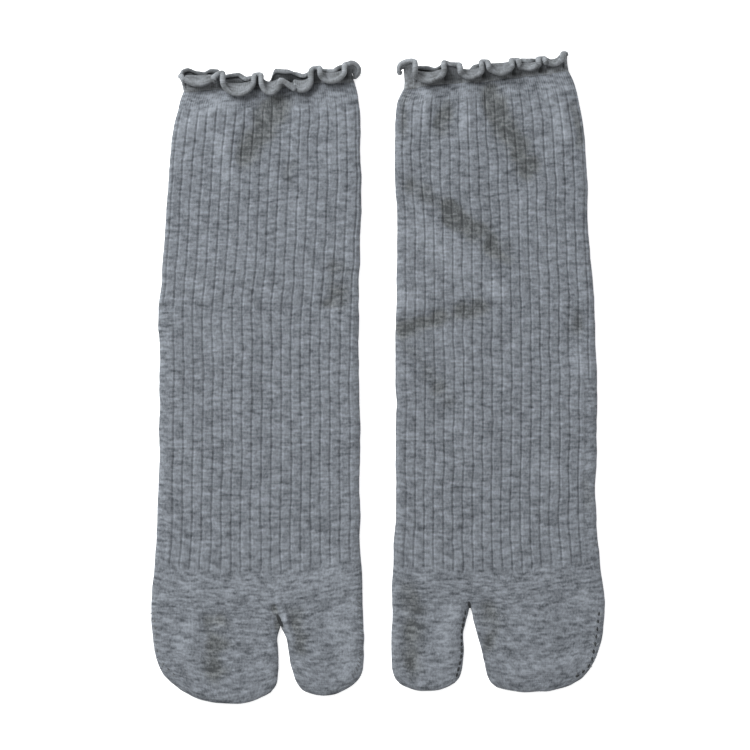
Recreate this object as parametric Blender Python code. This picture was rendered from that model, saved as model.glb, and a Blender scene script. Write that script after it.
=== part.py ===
"""A pair of rib-knitted tabi socks with frilled cuffs, laid flat side by side, insteps up.

Each sock is a flattened tube of knit: two layers with a real wall, joined by rounded side folds, with
a little air between them. The leg and foot are one ribbed tube. The toe is plain knit and splits into
a pocket for the big toe and a pocket for the other four. A wavy frill stands round the mouth.

Lengths are in millimetres until a point goes into a mesh. X runs across the pair, Y from the toes
(minus) to the cuffs (plus), and Z up from the surface that the socks lie on.
"""

import math
from collections import namedtuple

import bmesh
import bpy
from mathutils import Vector
from mathutils.kdtree import KDTree

MM = 0.001

# The pair
SOCK_SPACING = 108.6  # from the middle of one sock to the middle of the other
SEAM_GAP = 0.3  # left between two pieces that are knitted together

# The knit
PLAIN_WALL = 1.6
GROOVE_WALL = 1.3  # the wall at the bottom of a groove between two ribs
RIB_RISE = 0.7  # from a groove to the top of its ribs
LAYER_GAP = 0.6  # air between the two layers
HALF_HEIGHT = PLAIN_WALL + LAYER_GAP / 2
FOLD_ROUND = 3.0  # the sock reaches its full height this far in from a side fold
INNER_ROUND = 1.4  # the same for the hollow
WELD = 0.005

# Where the rows and columns of points lie, as parts of a width or a length
FOLD_COLUMNS = [0.006, 0.02]  # in from a side fold
LAST_SHOULDER = 0.986
SMOOTH_COLUMNS = 14  # across the underside and across the hollow
HOLLOW_FOLD_COLUMN = 0.01
WIDE_COLUMNS = [0.0, 0.015, 0.05, 0.16, 0.30, 0.44, 0.58, 0.72, 0.85, 0.95, 0.985, 1.0]
NARROW_COLUMNS = [0.0, 0.025, 0.08, 0.25, 0.50, 0.75, 0.92, 0.975, 1.0]
HOLLOW_WIDE_COLUMNS = 6
HOLLOW_NARROW_COLUMNS = 4
YOKE_ROWS = 3
HOLLOW_YOKE_ROWS = 2
CLEFT_CLEARANCE = 0.15  # the last row of the yoke lies this far above the row of the cleft
POCKET_ROWS = [0.07, 0.2, 0.4, 0.6, 0.78, 0.9, 0.97, 1.0]
HOLLOW_POCKET_ROWS = [0.2, 0.5, 0.8, 1.0]
TIP_SQUARENESS = 2.3  # 2 would round the tip of a pocket like a parabola

# How finely the outline is sampled, to find how far a point is from the nearest fold
SIDE_STEPS = 12
CLEFT_STEPS = 30
TIP_STEPS = 60
HALVINGS = 30  # in the search for a distance down the sock

# The ribs
RIBS = 19
SHOULDER = 0.24  # how far across a rib its rounded top begins
RIB_FADE = 2.5
ROW_STEP = 11.0
CUFF_ROW = 4  # the grooves change over from their places at the cuff to those at the toe
TOE_ROW = 9

# The frill
FRILL_WALL = 1.1
FRILL_EDGES = ((0.0, 1.9), (1.0, 1.4))  # the rolled edge: how far past the last row, and how thick
FRILL_ROOT = 0.85  # width that is taken up in the seam
FRILL_ROWS = (0.2, 0.4, 0.6, 0.8)  # rows of points between the seam and the edge
FRILL_COLUMNS = 92
FRILL_STEPS = 60  # the small steps in which a column is led upwards
BEND_PART = 0.38  # the part of its width in which the frill turns over
CUP_SQUARENESS = 2.8  # 2 would give each cup the outline of an ellipse
SIDE_RISE = 0.26  # how much higher a cup bends at its sides, which rounds it to a U
SIDE_POWER = 2.4
SOFTENING = 0.02  # how far round the mouth each turn is spread
MOUTH_STEPS = 1200
CEILING = Vector((0, 0, 1))

# A crossing of the flat tube: the two side folds, and how far its middle bows towards the toes.
Crossing = namedtuple("Crossing", "left_x left_y right_x right_y bow")

# A crossing of one toe pocket, from the side fold on the outside to the one at the cleft.
Pocket = namedtuple("Pocket", "side_x side_y cleft_x cleft_y bow")

# A soft ridge (lift above 0) or trough in the upper layer, along a straight line.
Fold = namedtuple("Fold", "x0 y0 x1 y1 width lift")

# How the frill stands at one place round the mouth (0 to 1 along the front, 1 to 2 back along the
# rear): how far it leans up and how far it drifts to the right, in degrees, and its width.
Wave = namedtuple("Wave", "place lean drift reach")

# A deep cup in the front, which bends over and down: spread is the drift at its sides, and rise is
# the part of its width below the bend.
Cup = namedtuple("Cup", "middle half_breadth lean spread reach rise")

# Where the edge hooks over sideways: its turn to the right, in degrees, and the parts of the width
# where the turn begins and ends.
Hook = namedtuple("Hook", "place half_breadth turn start end")

# Where the grooves run, as parts of the width: the first groove and the pitch, at cuff and at toe.
Grooves = namedtuple("Grooves", "cuff_first cuff_pitch toe_first toe_pitch")

# One sock: welt is the plain band below the cuff seam, where the ribs have not begun, rib_end is the
# row of the tube where they stop, and cleft_part is the part of the width where the toe divides.
Sock = namedtuple(
    "Sock",
    "name middle tube welt rib_end cleft_part left_pocket right_pocket grooves folds waves cups hook",
)

LEFT_TUBE = [
    Crossing(-35.0, 131.6, 43.2, 136.2, 0.5),  # cuff seam
    Crossing(-37.4, 125.2, 45.1, 128.6, 0.8),
    Crossing(-39.4, 116.6, 46.2, 118.6, 1.0),
    Crossing(-41.0, 103.5, 46.4, 104.9, 1.0),
    Crossing(-42.4, 86.0, 46.6, 86.9, 0.8),
    Crossing(-43.9, 66.5, 46.5, 67.0, 0.6),
    Crossing(-45.1, 46.0, 45.7, 46.0, 0.5),
    Crossing(-46.9, 29.0, 45.4, 29.0, 0.5),  # heel
    Crossing(-46.1, 14.0, 45.5, 14.0, 0.5),
    Crossing(-46.1, -6.0, 45.9, -6.0, 0.5),
    Crossing(-46.3, -30.0, 46.1, -30.0, 0.8),
    Crossing(-46.8, -54.0, 46.0, -54.0, 1.5),
    Crossing(-47.4, -73.0, 46.2, -72.5, 3.0),
    Crossing(-48.4, -86.9, 46.9, -85.2, 5.0),  # the ribs end
    Crossing(-49.7, -99.0, 47.4, -98.0, 4.0),
    Crossing(-50.2, -112.4, 47.3, -112.4, 2.0),  # the toe divides
]
LEFT_FOUR_TOES = [
    Pocket(-49.5, -121.5, 8.3, -121.0, 0.8),
    Pocket(-47.8, -130.0, 8.7, -130.0, 2.6),
    Pocket(-45.2, -136.0, 8.5, -137.4, 5.0),
    Pocket(-41.4, -140.4, 7.0, -143.6, 8.2),
]
LEFT_BIG_TOE = [
    Pocket(47.7, -121.5, 12.0, -121.0, 0.3),
    Pocket(47.8, -130.2, 13.7, -130.0, 1.4),
    Pocket(46.9, -136.8, 15.0, -136.6, 3.0),
    Pocket(43.8, -142.0, 17.4, -142.2, 4.6),
]
LEFT_FOLDS = [
    Fold(8.3, 126.0, -6.4, 101.7, 6.0, -0.35),
    Fold(-12.0, 125.0, -35.0, 114.5, 7.0, 0.8),
    Fold(-17.5, 109.0, -12.0, 87.0, 8.0, 0.7),
    Fold(33.0, 127.0, 29.0, 104.0, 10.0, 0.7),
    Fold(36.0, 52.0, 36.0, 37.0, 6.0, -0.3),
    Fold(-33.0, -118.0, -34.0, -124.0, 9.0, 0.8),
    Fold(-20.0, -116.0, -20.0, -138.0, 8.0, -0.3),
    Fold(42.0, -120.0, 40.0, -128.0, 8.0, 0.7),
    Fold(3.0, -112.0, 7.4, -100.0, 5.0, 0.7),
]
LEFT_WAVES = [
    Wave(0.000, 24, -10, 8.8),
    Wave(0.012, 30, -8, 9.2),
    Wave(0.178, 56, 2, 10.0),
    Wave(0.214, 30, 6, 9.8),
    Wave(0.440, 30, 0, 8.2),
    Wave(0.576, 83, 0, 9.2),
    Wave(0.600, 92, 0, 8.6),
    Wave(0.625, 118, 6, 8.4),
    Wave(0.652, 138, 8, 8.2),
    Wave(0.785, 30, 2, 9.6),
    Wave(0.948, 26, 3, 10.0),
    Wave(0.966, 24, 4, 10.0),
    Wave(0.985, 24, 2, 10.4),
    Wave(1.000, 20, -9, 11.8),
    Wave(1.015, 20, -6, 10.2),
    Wave(1.070, 14, 0, 8.8),
    Wave(1.117, 30, 0, 7.6),
    Wave(1.211, 0, 0, 8.0),
    Wave(1.288, 30, 0, 6.2),
    Wave(1.335, 24, 0, 7.2),
    Wave(1.382, 40, 0, 9.6),
    Wave(1.452, 34, 0, 10.0),
    Wave(1.494, 20, 0, 3.6),
    Wave(1.564, 6, 0, 6.8),
    Wave(1.629, 36, 0, 7.0),
    Wave(1.682, 22, 0, 8.6),
    Wave(1.776, 0, 0, 7.4),
    Wave(1.840, 10, 17, 10.6),
    Wave(1.870, 10, 14, 10.8),
    Wave(1.905, 10, 12, 9.4),
    Wave(1.930, 6, 4, 9.8),
    Wave(1.960, 14, -4, 11.5),
    Wave(1.985, 20, -7, 11.0),
]
LEFT_CUPS = [
    Cup(0.092, 0.084, 155, 6, 13.8, 0.40),
    Cup(0.322, 0.095, 160, 8, 10.2, 0.15),
    Cup(0.5165, 0.0515, 158, 8, 11.0, 0.14),
    Cup(0.700, 0.052, 155, 6, 9.6, 0.09),
    Cup(0.878, 0.067, 158, 6, 11.8, 0.30),
]
LEFT_HOOK = Hook(1.0, 0.018, 88, 0.50, 0.72)

RIGHT_TUBE = [
    Crossing(-42.3, 133.0, 33.1, 140.8, 0.5),  # cuff seam
    Crossing(-45.2, 126.4, 36.7, 132.2, 0.8),
    Crossing(-46.5, 116.6, 39.3, 121.0, 1.0),
    Crossing(-46.8, 103.0, 41.0, 105.3, 1.0),
    Crossing(-46.4, 87.4, 42.0, 88.6, 0.8),
    Crossing(-45.4, 71.2, 42.5, 71.5, 0.6),
    Crossing(-45.8, 54.0, 43.7, 54.0, 0.5),
    Crossing(-45.9, 37.0, 45.1, 37.0, 0.5),
    Crossing(-46.1, 20.0, 45.6, 20.0, 0.5),
    Crossing(-46.0, -1.0, 46.4, -1.0, 0.5),
    Crossing(-46.2, -24.0, 46.4, -24.0, 0.6),
    Crossing(-46.2, -46.0, 46.0, -46.0, 1.2),
    Crossing(-46.5, -66.0, 46.0, -65.5, 2.4),
    Crossing(-47.2, -87.7, 48.0, -85.7, 3.8),  # the ribs end
    Crossing(-47.7, -96.0, 49.1, -94.5, 2.4),
    Crossing(-47.9, -104.4, 50.0, -104.0, 0.9),  # the toe divides
]
RIGHT_BIG_TOE = [
    Pocket(-48.0, -117.0, -14.4, -117.0, 0.3),
    Pocket(-47.9, -127.4, -15.0, -127.0, 1.0),
    Pocket(-47.6, -135.0, -15.3, -134.4, 2.2),
    Pocket(-45.0, -141.2, -17.8, -141.2, 3.4),
]
RIGHT_FOUR_TOES = [
    Pocket(49.4, -115.5, -9.6, -115.5, 0.8),
    Pocket(47.6, -125.0, -7.2, -125.0, 1.6),
    Pocket(43.6, -134.0, -5.3, -134.6, 3.0),
    Pocket(35.2, -141.4, -1.9, -142.6, 3.0),
]
RIGHT_FOLDS = [
    Fold(-1.8, 128.0, 12.9, 100.0, 6.0, -0.35),
    Fold(-23.9, 124.0, -24.0, 113.0, 5.0, -0.3),
    Fold(-36.0, 125.0, -34.0, 116.0, 7.0, 0.7),
    Fold(-14.0, 125.0, -15.0, 112.0, 6.0, 0.7),
    Fold(20.0, 127.0, 29.0, 113.0, 8.0, 0.8),
    Fold(-35.0, 87.0, -19.0, 76.0, 6.0, -0.3),
    Fold(-19.0, 76.0, 2.0, 56.0, 6.0, -0.3),
    Fold(-42.0, 35.0, -36.0, 30.0, 5.0, 0.8),
    Fold(-41.0, 23.0, -7.0, 33.0, 5.0, -0.3),
    Fold(-3.0, 38.0, 2.0, 36.0, 6.0, 0.6),
    Fold(-24.0, -112.0, -24.0, -128.0, 6.0, 0.7),
    Fold(-36.0, -114.0, -36.0, -130.0, 6.0, -0.3),
    Fold(10.0, -112.0, 14.0, -132.0, 12.0, 0.7),
]
RIGHT_WAVES = [
    Wave(0.000, 20, 4, 18.0),
    Wave(0.012, 26, 5, 16.0),
    Wave(0.030, 32, 6, 14.8),
    Wave(0.056, 36, 6, 14.6),
    Wave(0.252, 22, 0, 12.4),
    Wave(0.300, 26, 0, 11.2),
    Wave(0.340, 26, 2, 10.6),
    Wave(0.485, 24, 0, 10.9),
    Wave(0.520, 26, 0, 10.7),
    Wave(0.668, 24, 0, 10.1),
    Wave(0.706, 24, 0, 10.0),
    Wave(0.834, 24, 0, 9.5),
    Wave(0.868, 24, 0, 9.3),
    Wave(0.985, 6, 0, 9.8),
    Wave(1.000, 0, 0, 9.8),
    Wave(1.013, 0, 0, 9.4),
    Wave(1.074, 24, 0, 6.6),
    Wave(1.123, 0, 0, 8.8),
    Wave(1.171, 10, 0, 8.6),
    Wave(1.232, 30, 0, 9.4),
    Wave(1.293, 0, 0, 9.2),
    Wave(1.397, 24, 0, 8.2),
    Wave(1.434, 20, 0, 6.8),
    Wave(1.500, 4, 0, 9.2),
    Wave(1.562, 26, 0, 9.4),
    Wave(1.610, 14, 0, 6.2),
    Wave(1.684, 6, 0, 8.8),
    Wave(1.738, 20, 0, 11.4),
    Wave(1.800, 16, 0, 9.4),
    Wave(1.854, 16, 0, 10.2),
    Wave(1.940, 10, 0, 10.6),
    Wave(1.970, 20, 4, 12.4),
    Wave(1.988, 24, 4, 15.4),
]
RIGHT_CUPS = [
    Cup(0.154, 0.094, 162, 6, 14.0, 0.28),
    Cup(0.412, 0.066, 162, 6, 13.1, 0.28),
    Cup(0.592, 0.067, 162, 6, 15.0, 0.28),
    Cup(0.768, 0.058, 155, 6, 11.0, 0.38),
    Cup(0.923, 0.054, 155, 4, 11.4, 0.40),
]
RIGHT_HOOK = Hook(0.0, 0.040, -85, 0.60, 0.88)

LEFT_SOCK = Sock(
    name="left",
    middle=-SOCK_SPACING / 2,
    tube=LEFT_TUBE,
    welt=7.8,
    rib_end=13,
    cleft_part=0.609,
    left_pocket=LEFT_FOUR_TOES,
    right_pocket=LEFT_BIG_TOE,
    grooves=Grooves(0.0744, 0.0503, 0.0750, 0.0487),
    folds=LEFT_FOLDS,
    waves=LEFT_WAVES,
    cups=LEFT_CUPS,
    hook=LEFT_HOOK,
)
RIGHT_SOCK = Sock(
    name="right",
    middle=SOCK_SPACING / 2,
    tube=RIGHT_TUBE,
    welt=5.8,
    rib_end=13,
    cleft_part=0.366,
    left_pocket=RIGHT_BIG_TOE,
    right_pocket=RIGHT_FOUR_TOES,
    grooves=Grooves(0.0444, 0.0496, 0.0520, 0.0478),
    folds=RIGHT_FOLDS,
    waves=RIGHT_WAVES,
    cups=RIGHT_CUPS,
    hook=RIGHT_HOOK,
)


def clear_scene():
    for old in list(bpy.data.objects):
        bpy.data.objects.remove(old)


def knit_material(name, colour, roughness):
    material = bpy.data.materials.new(name)
    material.use_nodes = True
    shader = material.node_tree.nodes["Principled BSDF"]
    shader.inputs["Base Color"].default_value = (*colour, 1)
    shader.inputs["Roughness"].default_value = roughness
    shader.inputs["Metallic"].default_value = 0
    return material


def through(values, place):
    """The value at place on a smooth curve that passes each of the values at 0, 1, 2 and so on."""
    last = len(values) - 1
    place = min(max(place, 0.0), last)
    start = min(int(place), last - 1)
    part = place - start
    here, there = values[start], values[start + 1]
    before = values[start - 1] if start > 0 else here * 2 - there
    after = values[start + 2] if start + 2 <= last else there * 2 - here
    slope = (there - before) * 0.5
    next_slope = (after - here) * 0.5
    bend = (there - here) * 3 - slope * 2 - next_slope
    twist = (here - there) * 2 + slope + next_slope
    return here + slope * part + bend * part**2 + twist * part**3


def ease(part):
    part = min(max(part, 0.0), 1.0)
    return part * part * (3 - 2 * part)


def rounded(part):
    """The height of a quarter circle, from 0 at its start to 1 at its end."""
    part = min(max(part, 0.0), 1.0)
    return math.sqrt(1 - (1 - part) ** 2)


def spaced(first, last, count):
    return [first + (last - first) * i / count for i in range(count + 1)]


class Flat:
    """The flat shape of one sock: where each point across and along it lies, and how high it is."""

    def __init__(self, sock):
        self.sock = sock
        self.left = [Vector((row.left_x, row.left_y)) for row in sock.tube]
        self.left += [Vector((row.side_x, row.side_y)) for row in sock.left_pocket]
        self.right = [Vector((row.right_x, row.right_y)) for row in sock.tube]
        self.right += [Vector((row.side_x, row.side_y)) for row in sock.right_pocket]
        self.bows = [row.bow for row in sock.tube]
        self.divide = len(sock.tube) - 1
        self.cleft = self.crossing(self.divide, sock.cleft_part)
        self.outline = self.outline_tree()

    def crossing(self, place, part, inset=0.0):
        """A point on the tube: part is 0 at the left fold and 1 at the right one."""
        left, right = through(self.left, place), through(self.right, place)
        inwards = (right - left).normalized() * inset
        point = (left + inwards).lerp(right - inwards, part)
        bow = through(self.bows, min(place, self.divide))
        return point - Vector((0, bow * 4 * part * (1 - part)))

    def pocket(self, rows, place, part, inset=0.0):
        """A point on a toe pocket: part is 0 at its side fold and 1 at the cleft."""
        on_left = rows is self.sock.left_pocket
        sides = self.left if on_left else self.right
        clefts = [self.cleft] + [Vector((row.cleft_x, row.cleft_y)) for row in rows]
        bows = [0.0] + [row.bow for row in rows]
        side = through(sides, self.divide + place)
        cleft = through(clefts, place)
        inwards = (cleft - side).normalized() * inset
        bow = through(bows, place) * (1 - abs(2 * part - 1) ** TIP_SQUARENESS)
        point = (side + inwards).lerp(cleft - inwards, part) - Vector((0, bow))
        width_part = self.sock.cleft_part
        across = part * width_part if on_left else 1 - part * (1 - width_part)
        fold_end = self.crossing(self.divide, 0 if on_left else 1)
        slack = self.crossing(self.divide, across) - fold_end.lerp(self.cleft, part)
        return point + slack * max(0.0, 1 - place) ** 2 + Vector((0, inset * place / len(rows)))

    def outline_tree(self):
        points = []
        for side in (self.left, self.right):
            last = len(side) - 1
            points += [through(side, place) for place in spaced(0, last, last * SIDE_STEPS)]
        for rows in (self.sock.left_pocket, self.sock.right_pocket):
            tip = len(rows)
            points += [self.pocket(rows, tip, part) for part in spaced(0, 1, TIP_STEPS)]
            points += [self.pocket(rows, place, 1) for place in spaced(0, tip, tip * CLEFT_STEPS)]
        tree = KDTree(len(points))
        for index, point in enumerate(points):
            tree.insert((point.x, point.y, 0), index)
        tree.balance()
        return tree

    def from_fold(self, point):
        return self.outline.find((point.x, point.y, 0))[2]

    def lift(self, point):
        """How far the folds move the upper layer at a point."""
        total = 0.0
        for fold in self.sock.folds:
            start, end = Vector((fold.x0, fold.y0)), Vector((fold.x1, fold.y1))
            along = end - start
            part = min(max((point - start).dot(along) / along.length_squared, 0), 1)
            distance = (point - start - along * part).length
            total += fold.lift * ease(1 - distance / (2 * fold.width))
        return max(total, -LAYER_GAP / 2)

    def groove(self, number, place):
        marks = self.sock.grooves
        down = min(max((place - CUFF_ROW) / (TOE_ROW - CUFF_ROW), 0), 1)
        first = marks.cuff_first + (marks.toe_first - marks.cuff_first) * down
        pitch = marks.cuff_pitch + (marks.toe_pitch - marks.cuff_pitch) * down
        return first + number * pitch

    def place_at(self, distance):
        """The place in the table of crossings that lies this far from the cuff seam."""
        low, high = 0.0, float(self.divide)
        start = (self.left[0].y + self.right[0].y) / 2
        for _ in range(HALVINGS):
            middle = (low + high) / 2
            level = (through(self.left, middle).y + through(self.right, middle).y) / 2
            if start - level < distance:
                low = middle
            else:
                high = middle
        return low

    def tube_length(self):
        """From the cuff seam to where the ribs end, down the middle of the sock."""
        return sum((side[0].y - side[self.sock.rib_end].y) / 2 for side in (self.left, self.right))


def outer_point(flat, point, upper, rise=0.0, on_fold=False):
    height = 0.0 if on_fold else rounded(flat.from_fold(point) / FOLD_ROUND)
    if upper:
        level = HALF_HEIGHT + (HALF_HEIGHT + rise + flat.lift(point)) * height
    else:
        level = HALF_HEIGHT * (1 - height)
    return (point.x * MM, point.y * MM, level * MM)


def inner_point(flat, point, upper, on_fold=False):
    inside = flat.from_fold(point) - PLAIN_WALL
    height = 0.0 if on_fold else rounded(inside / INNER_ROUND)
    if upper:
        level = HALF_HEIGHT + (LAYER_GAP / 2 + flat.lift(point)) * height
    else:
        level = HALF_HEIGHT - LAYER_GAP / 2 * height
    return (point.x * MM, point.y * MM, level * MM)


def join_rings(bm, ring, next_ring):
    for i in range(len(ring)):
        j = (i + 1) % len(ring)
        bm.faces.new((ring[i], ring[j], next_ring[j], next_ring[i]))


def zip_rings(bm, outer, outer_parts, inner, inner_parts):
    """Closes the edge of a wall between two rings that have different numbers of points."""
    i = j = 0
    while i < len(outer) or j < len(inner):
        next_outer = outer_parts[i + 1] if i + 1 < len(outer) else 1.0
        next_inner = inner_parts[j + 1] if j + 1 < len(inner) else 1.0
        here, there = outer[i % len(outer)], inner[j % len(inner)]
        if j == len(inner) or (i < len(outer) and next_outer <= next_inner):
            i += 1
            bm.faces.new((here, outer[i % len(outer)], there))
        else:
            j += 1
            bm.faces.new((here, inner[j % len(inner)], there))


def ring_parts(upper, lower):
    """How far round its ring each point is, for points that go over the top and back underneath."""
    return [part / 2 for part in upper] + [1 - part / 2 for part in reversed(lower)]


def make_piece(name, bm, material, middle):
    bmesh.ops.remove_doubles(bm, verts=bm.verts, dist=WELD * MM)
    bmesh.ops.recalc_face_normals(bm, faces=bm.faces)
    mesh = bpy.data.meshes.new(name)
    bm.to_mesh(mesh)
    bm.free()
    mesh.shade_smooth()
    mesh.set_sharp_from_angle(angle=math.radians(50))
    mesh.materials.append(material)
    piece = bpy.data.objects.new(name, mesh)
    piece.location.x = middle * MM
    bpy.context.scene.collection.objects.link(piece)
    return piece


def rib_columns(flat, place):
    """The points across the upper layer, left to right, each with its height above the plain wall."""
    groove_rise = GROOVE_WALL - PLAIN_WALL
    crest_rise = groove_rise + RIB_RISE
    first, pitch = flat.groove(0, place), flat.groove(1, place) - flat.groove(0, place)
    columns = [(part, 0.0) for part in [0.0] + FOLD_COLUMNS]
    columns.append((first - pitch * SHOULDER, crest_rise))
    for number in range(RIBS):
        groove = flat.groove(number, place)
        columns.append((groove, groove_rise))
        columns.append((min(groove + pitch * SHOULDER, LAST_SHOULDER), crest_rise))
        if number < RIBS - 1:
            columns.append((groove + pitch * (1 - SHOULDER), crest_rise))
    return columns + [(1 - FOLD_COLUMNS[0], 0.0), (1.0, 0.0)]


def make_ribbed_tube(flat, material):
    """Leg and foot: ribs stand up from the outside of the upper layer, and its inside is plain."""
    start = SEAM_GAP / 2
    end = flat.tube_length() - SEAM_GAP / 2
    welt = flat.sock.welt
    even_rows = round((end - welt - 2 * RIB_FADE) / ROW_STEP)
    distances = [start, welt] + spaced(welt + RIB_FADE, end - RIB_FADE, even_rows) + [end]
    between = spaced(0, 1, SMOOTH_COLUMNS)[1:-1]
    bottom = FOLD_COLUMNS + between + [1 - part for part in reversed(FOLD_COLUMNS)]
    hollow = [0.0, HOLLOW_FOLD_COLUMN] + between + [1 - HOLLOW_FOLD_COLUMN, 1.0]

    bm = bmesh.new()
    outer_rings, inner_rings = [], []
    for distance in distances:
        place = flat.place_at(distance)
        fade = ease((distance - welt) / RIB_FADE) * ease((end - distance) / RIB_FADE)
        upper = rib_columns(flat, place)
        outer = []
        for part, rise in upper:
            point = flat.crossing(place, part)
            outer.append(outer_point(flat, point, True, rise * fade, part in (0.0, 1.0)))
        for part in reversed(bottom):
            outer.append(outer_point(flat, flat.crossing(place, part), False))
        inner = []
        for part in hollow:
            point = flat.crossing(place, part, PLAIN_WALL)
            inner.append(inner_point(flat, point, True, part in (0.0, 1.0)))
        for part in reversed(hollow[1:-1]):
            inner.append(inner_point(flat, flat.crossing(place, part, PLAIN_WALL), False))
        outer_rings.append([bm.verts.new(point) for point in outer])
        inner_rings.append([bm.verts.new(point) for point in inner])

    for rings in (outer_rings, inner_rings):
        for ring, next_ring in zip(rings, rings[1:]):
            join_rings(bm, ring, next_ring)
    inner_parts = ring_parts(hollow, hollow[1:-1])
    for row, distance in ((0, start), (-1, end)):
        upper = [part for part, _ in rib_columns(flat, flat.place_at(distance))]
        zip_rings(bm, outer_rings[row], ring_parts(upper, bottom), inner_rings[row], inner_parts)
    return make_piece(f"{flat.sock.name}_ribbed_tube", bm, material, flat.sock.middle)


def toe_layer(bm, flat, upper, inset, yoke_places, pocket_places, left_parts, right_parts):
    """One layer of the toe: the yoke above the cleft, then a pocket on each side of it."""

    def vertex(point, on_fold):
        make = inner_point if inset else outer_point
        return bm.verts.new(make(flat, point, upper, on_fold=on_fold))

    def fill(row, next_row):
        for i in range(len(row) - 1):
            bm.faces.new((row[i], row[i + 1], next_row[i + 1], next_row[i]))

    cleft = flat.sock.cleft_part
    across = toe_parts(flat, left_parts, right_parts)
    rows = []
    for place in yoke_places:
        at_cleft = place == yoke_places[-1]
        row = []
        for part in across:
            point = flat.crossing(place, part, inset) + Vector((0, inset * at_cleft))
            row.append(vertex(point, part in (0.0, 1.0) or (at_cleft and part == cleft)))
        rows.append(row)
    for row, next_row in zip(rows, rows[1:]):
        fill(row, next_row)

    split = len(left_parts) - 1
    from_right = [1 - part for part in reversed(right_parts)]
    for table, parts, row in (
        (flat.sock.left_pocket, left_parts, rows[-1][: split + 1]),
        (flat.sock.right_pocket, from_right, rows[-1][split:][::-1]),
    ):
        for place in pocket_places:
            tip = place == pocket_places[-1]
            next_row = []
            for part in parts:
                point = flat.pocket(table, place * len(table), part, inset)
                next_row.append(vertex(point, tip or part in (0.0, 1.0)))
            fill(row, next_row)
            row = next_row
    return rows[0]


def toe_parts(flat, left_parts, right_parts):
    cleft = flat.sock.cleft_part
    from_cleft = [cleft + part * (1 - cleft) for part in right_parts[1:]]
    return [part * cleft for part in left_parts] + from_cleft


def make_tabi_toe(flat, material):
    """The plain toe: one yoke that divides into two closed pockets."""
    seam = flat.place_at(flat.tube_length() + SEAM_GAP / 2)
    sides = (WIDE_COLUMNS, NARROW_COLUMNS)
    few_sides = (spaced(0, 1, HOLLOW_WIDE_COLUMNS), spaced(0, 1, HOLLOW_NARROW_COLUMNS))
    if flat.sock.cleft_part < 0.5:
        sides, few_sides = sides[::-1], few_sides[::-1]
    yoke = spaced(seam, flat.divide - CLEFT_CLEARANCE, YOKE_ROWS) + [flat.divide]
    few_yoke = spaced(seam, flat.divide, HOLLOW_YOKE_ROWS)

    bm = bmesh.new()
    rings = []
    for inset, yoke_places, pocket_places, parts in (
        (0.0, yoke, POCKET_ROWS, sides),
        (PLAIN_WALL, few_yoke, HOLLOW_POCKET_ROWS, few_sides),
    ):
        top = toe_layer(bm, flat, True, inset, yoke_places, pocket_places, *parts)
        under = toe_layer(bm, flat, False, inset, yoke_places, pocket_places, *parts)
        across = toe_parts(flat, *parts)
        rings += [top + under[-2:0:-1], ring_parts(across, across[1:-1])]
    zip_rings(bm, *rings)
    return make_piece(f"{flat.sock.name}_tabi_toe", bm, material, flat.sock.middle)


def sharp_wave(sock, place):
    """The lean and drift in degrees, the width and the part below the bend, with sharp corners."""
    rows = sock.waves + [sock.waves[0]._replace(place=sock.waves[0].place + 2)]
    here, there = next(pair for pair in zip(rows, rows[1:]) if place < pair[1].place)
    part = ease((place - here.place) / (there.place - here.place))
    wave = Vector((*here[1:], 0)).lerp(Vector((*there[1:], 0)), part)
    for cup in sock.cups:
        off = (place - cup.middle) / cup.half_breadth
        if abs(off) < 1:
            depth = (1 - abs(off) ** CUP_SQUARENESS) ** (1 / CUP_SQUARENESS)
            rise = cup.rise + SIDE_RISE * abs(off) ** SIDE_POWER
            wave = wave.lerp(Vector((cup.lean, cup.spread * off, cup.reach, rise)), depth)
    return wave


def soft_waves(sock):
    """The same all round the mouth, with its corners softened, as thick cloth can't turn sharply."""
    sharp = [sharp_wave(sock, 2 * i / MOUTH_STEPS) for i in range(MOUTH_STEPS)]
    spread = round(SOFTENING * MOUTH_STEPS / 2)
    weights = [1 + math.cos(math.pi * shift / (spread + 1)) for shift in range(-spread, spread + 1)]
    soft = []
    for i in range(MOUTH_STEPS):
        near = [sharp[(i + shift) % MOUTH_STEPS] for shift in range(-spread, spread + 1)]
        total = sum((wave * weight for wave, weight in zip(near, weights)), Vector((0, 0, 0, 0)))
        soft.append(total / sum(weights))
    return soft


def mouth_axes(flat):
    """The directions along the cuff seam to the right and straight out of the mouth."""
    cuff = (flat.right[0] - flat.left[0]).normalized().to_3d()
    return cuff, Vector((-cuff.y, cuff.x, 0))


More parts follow.
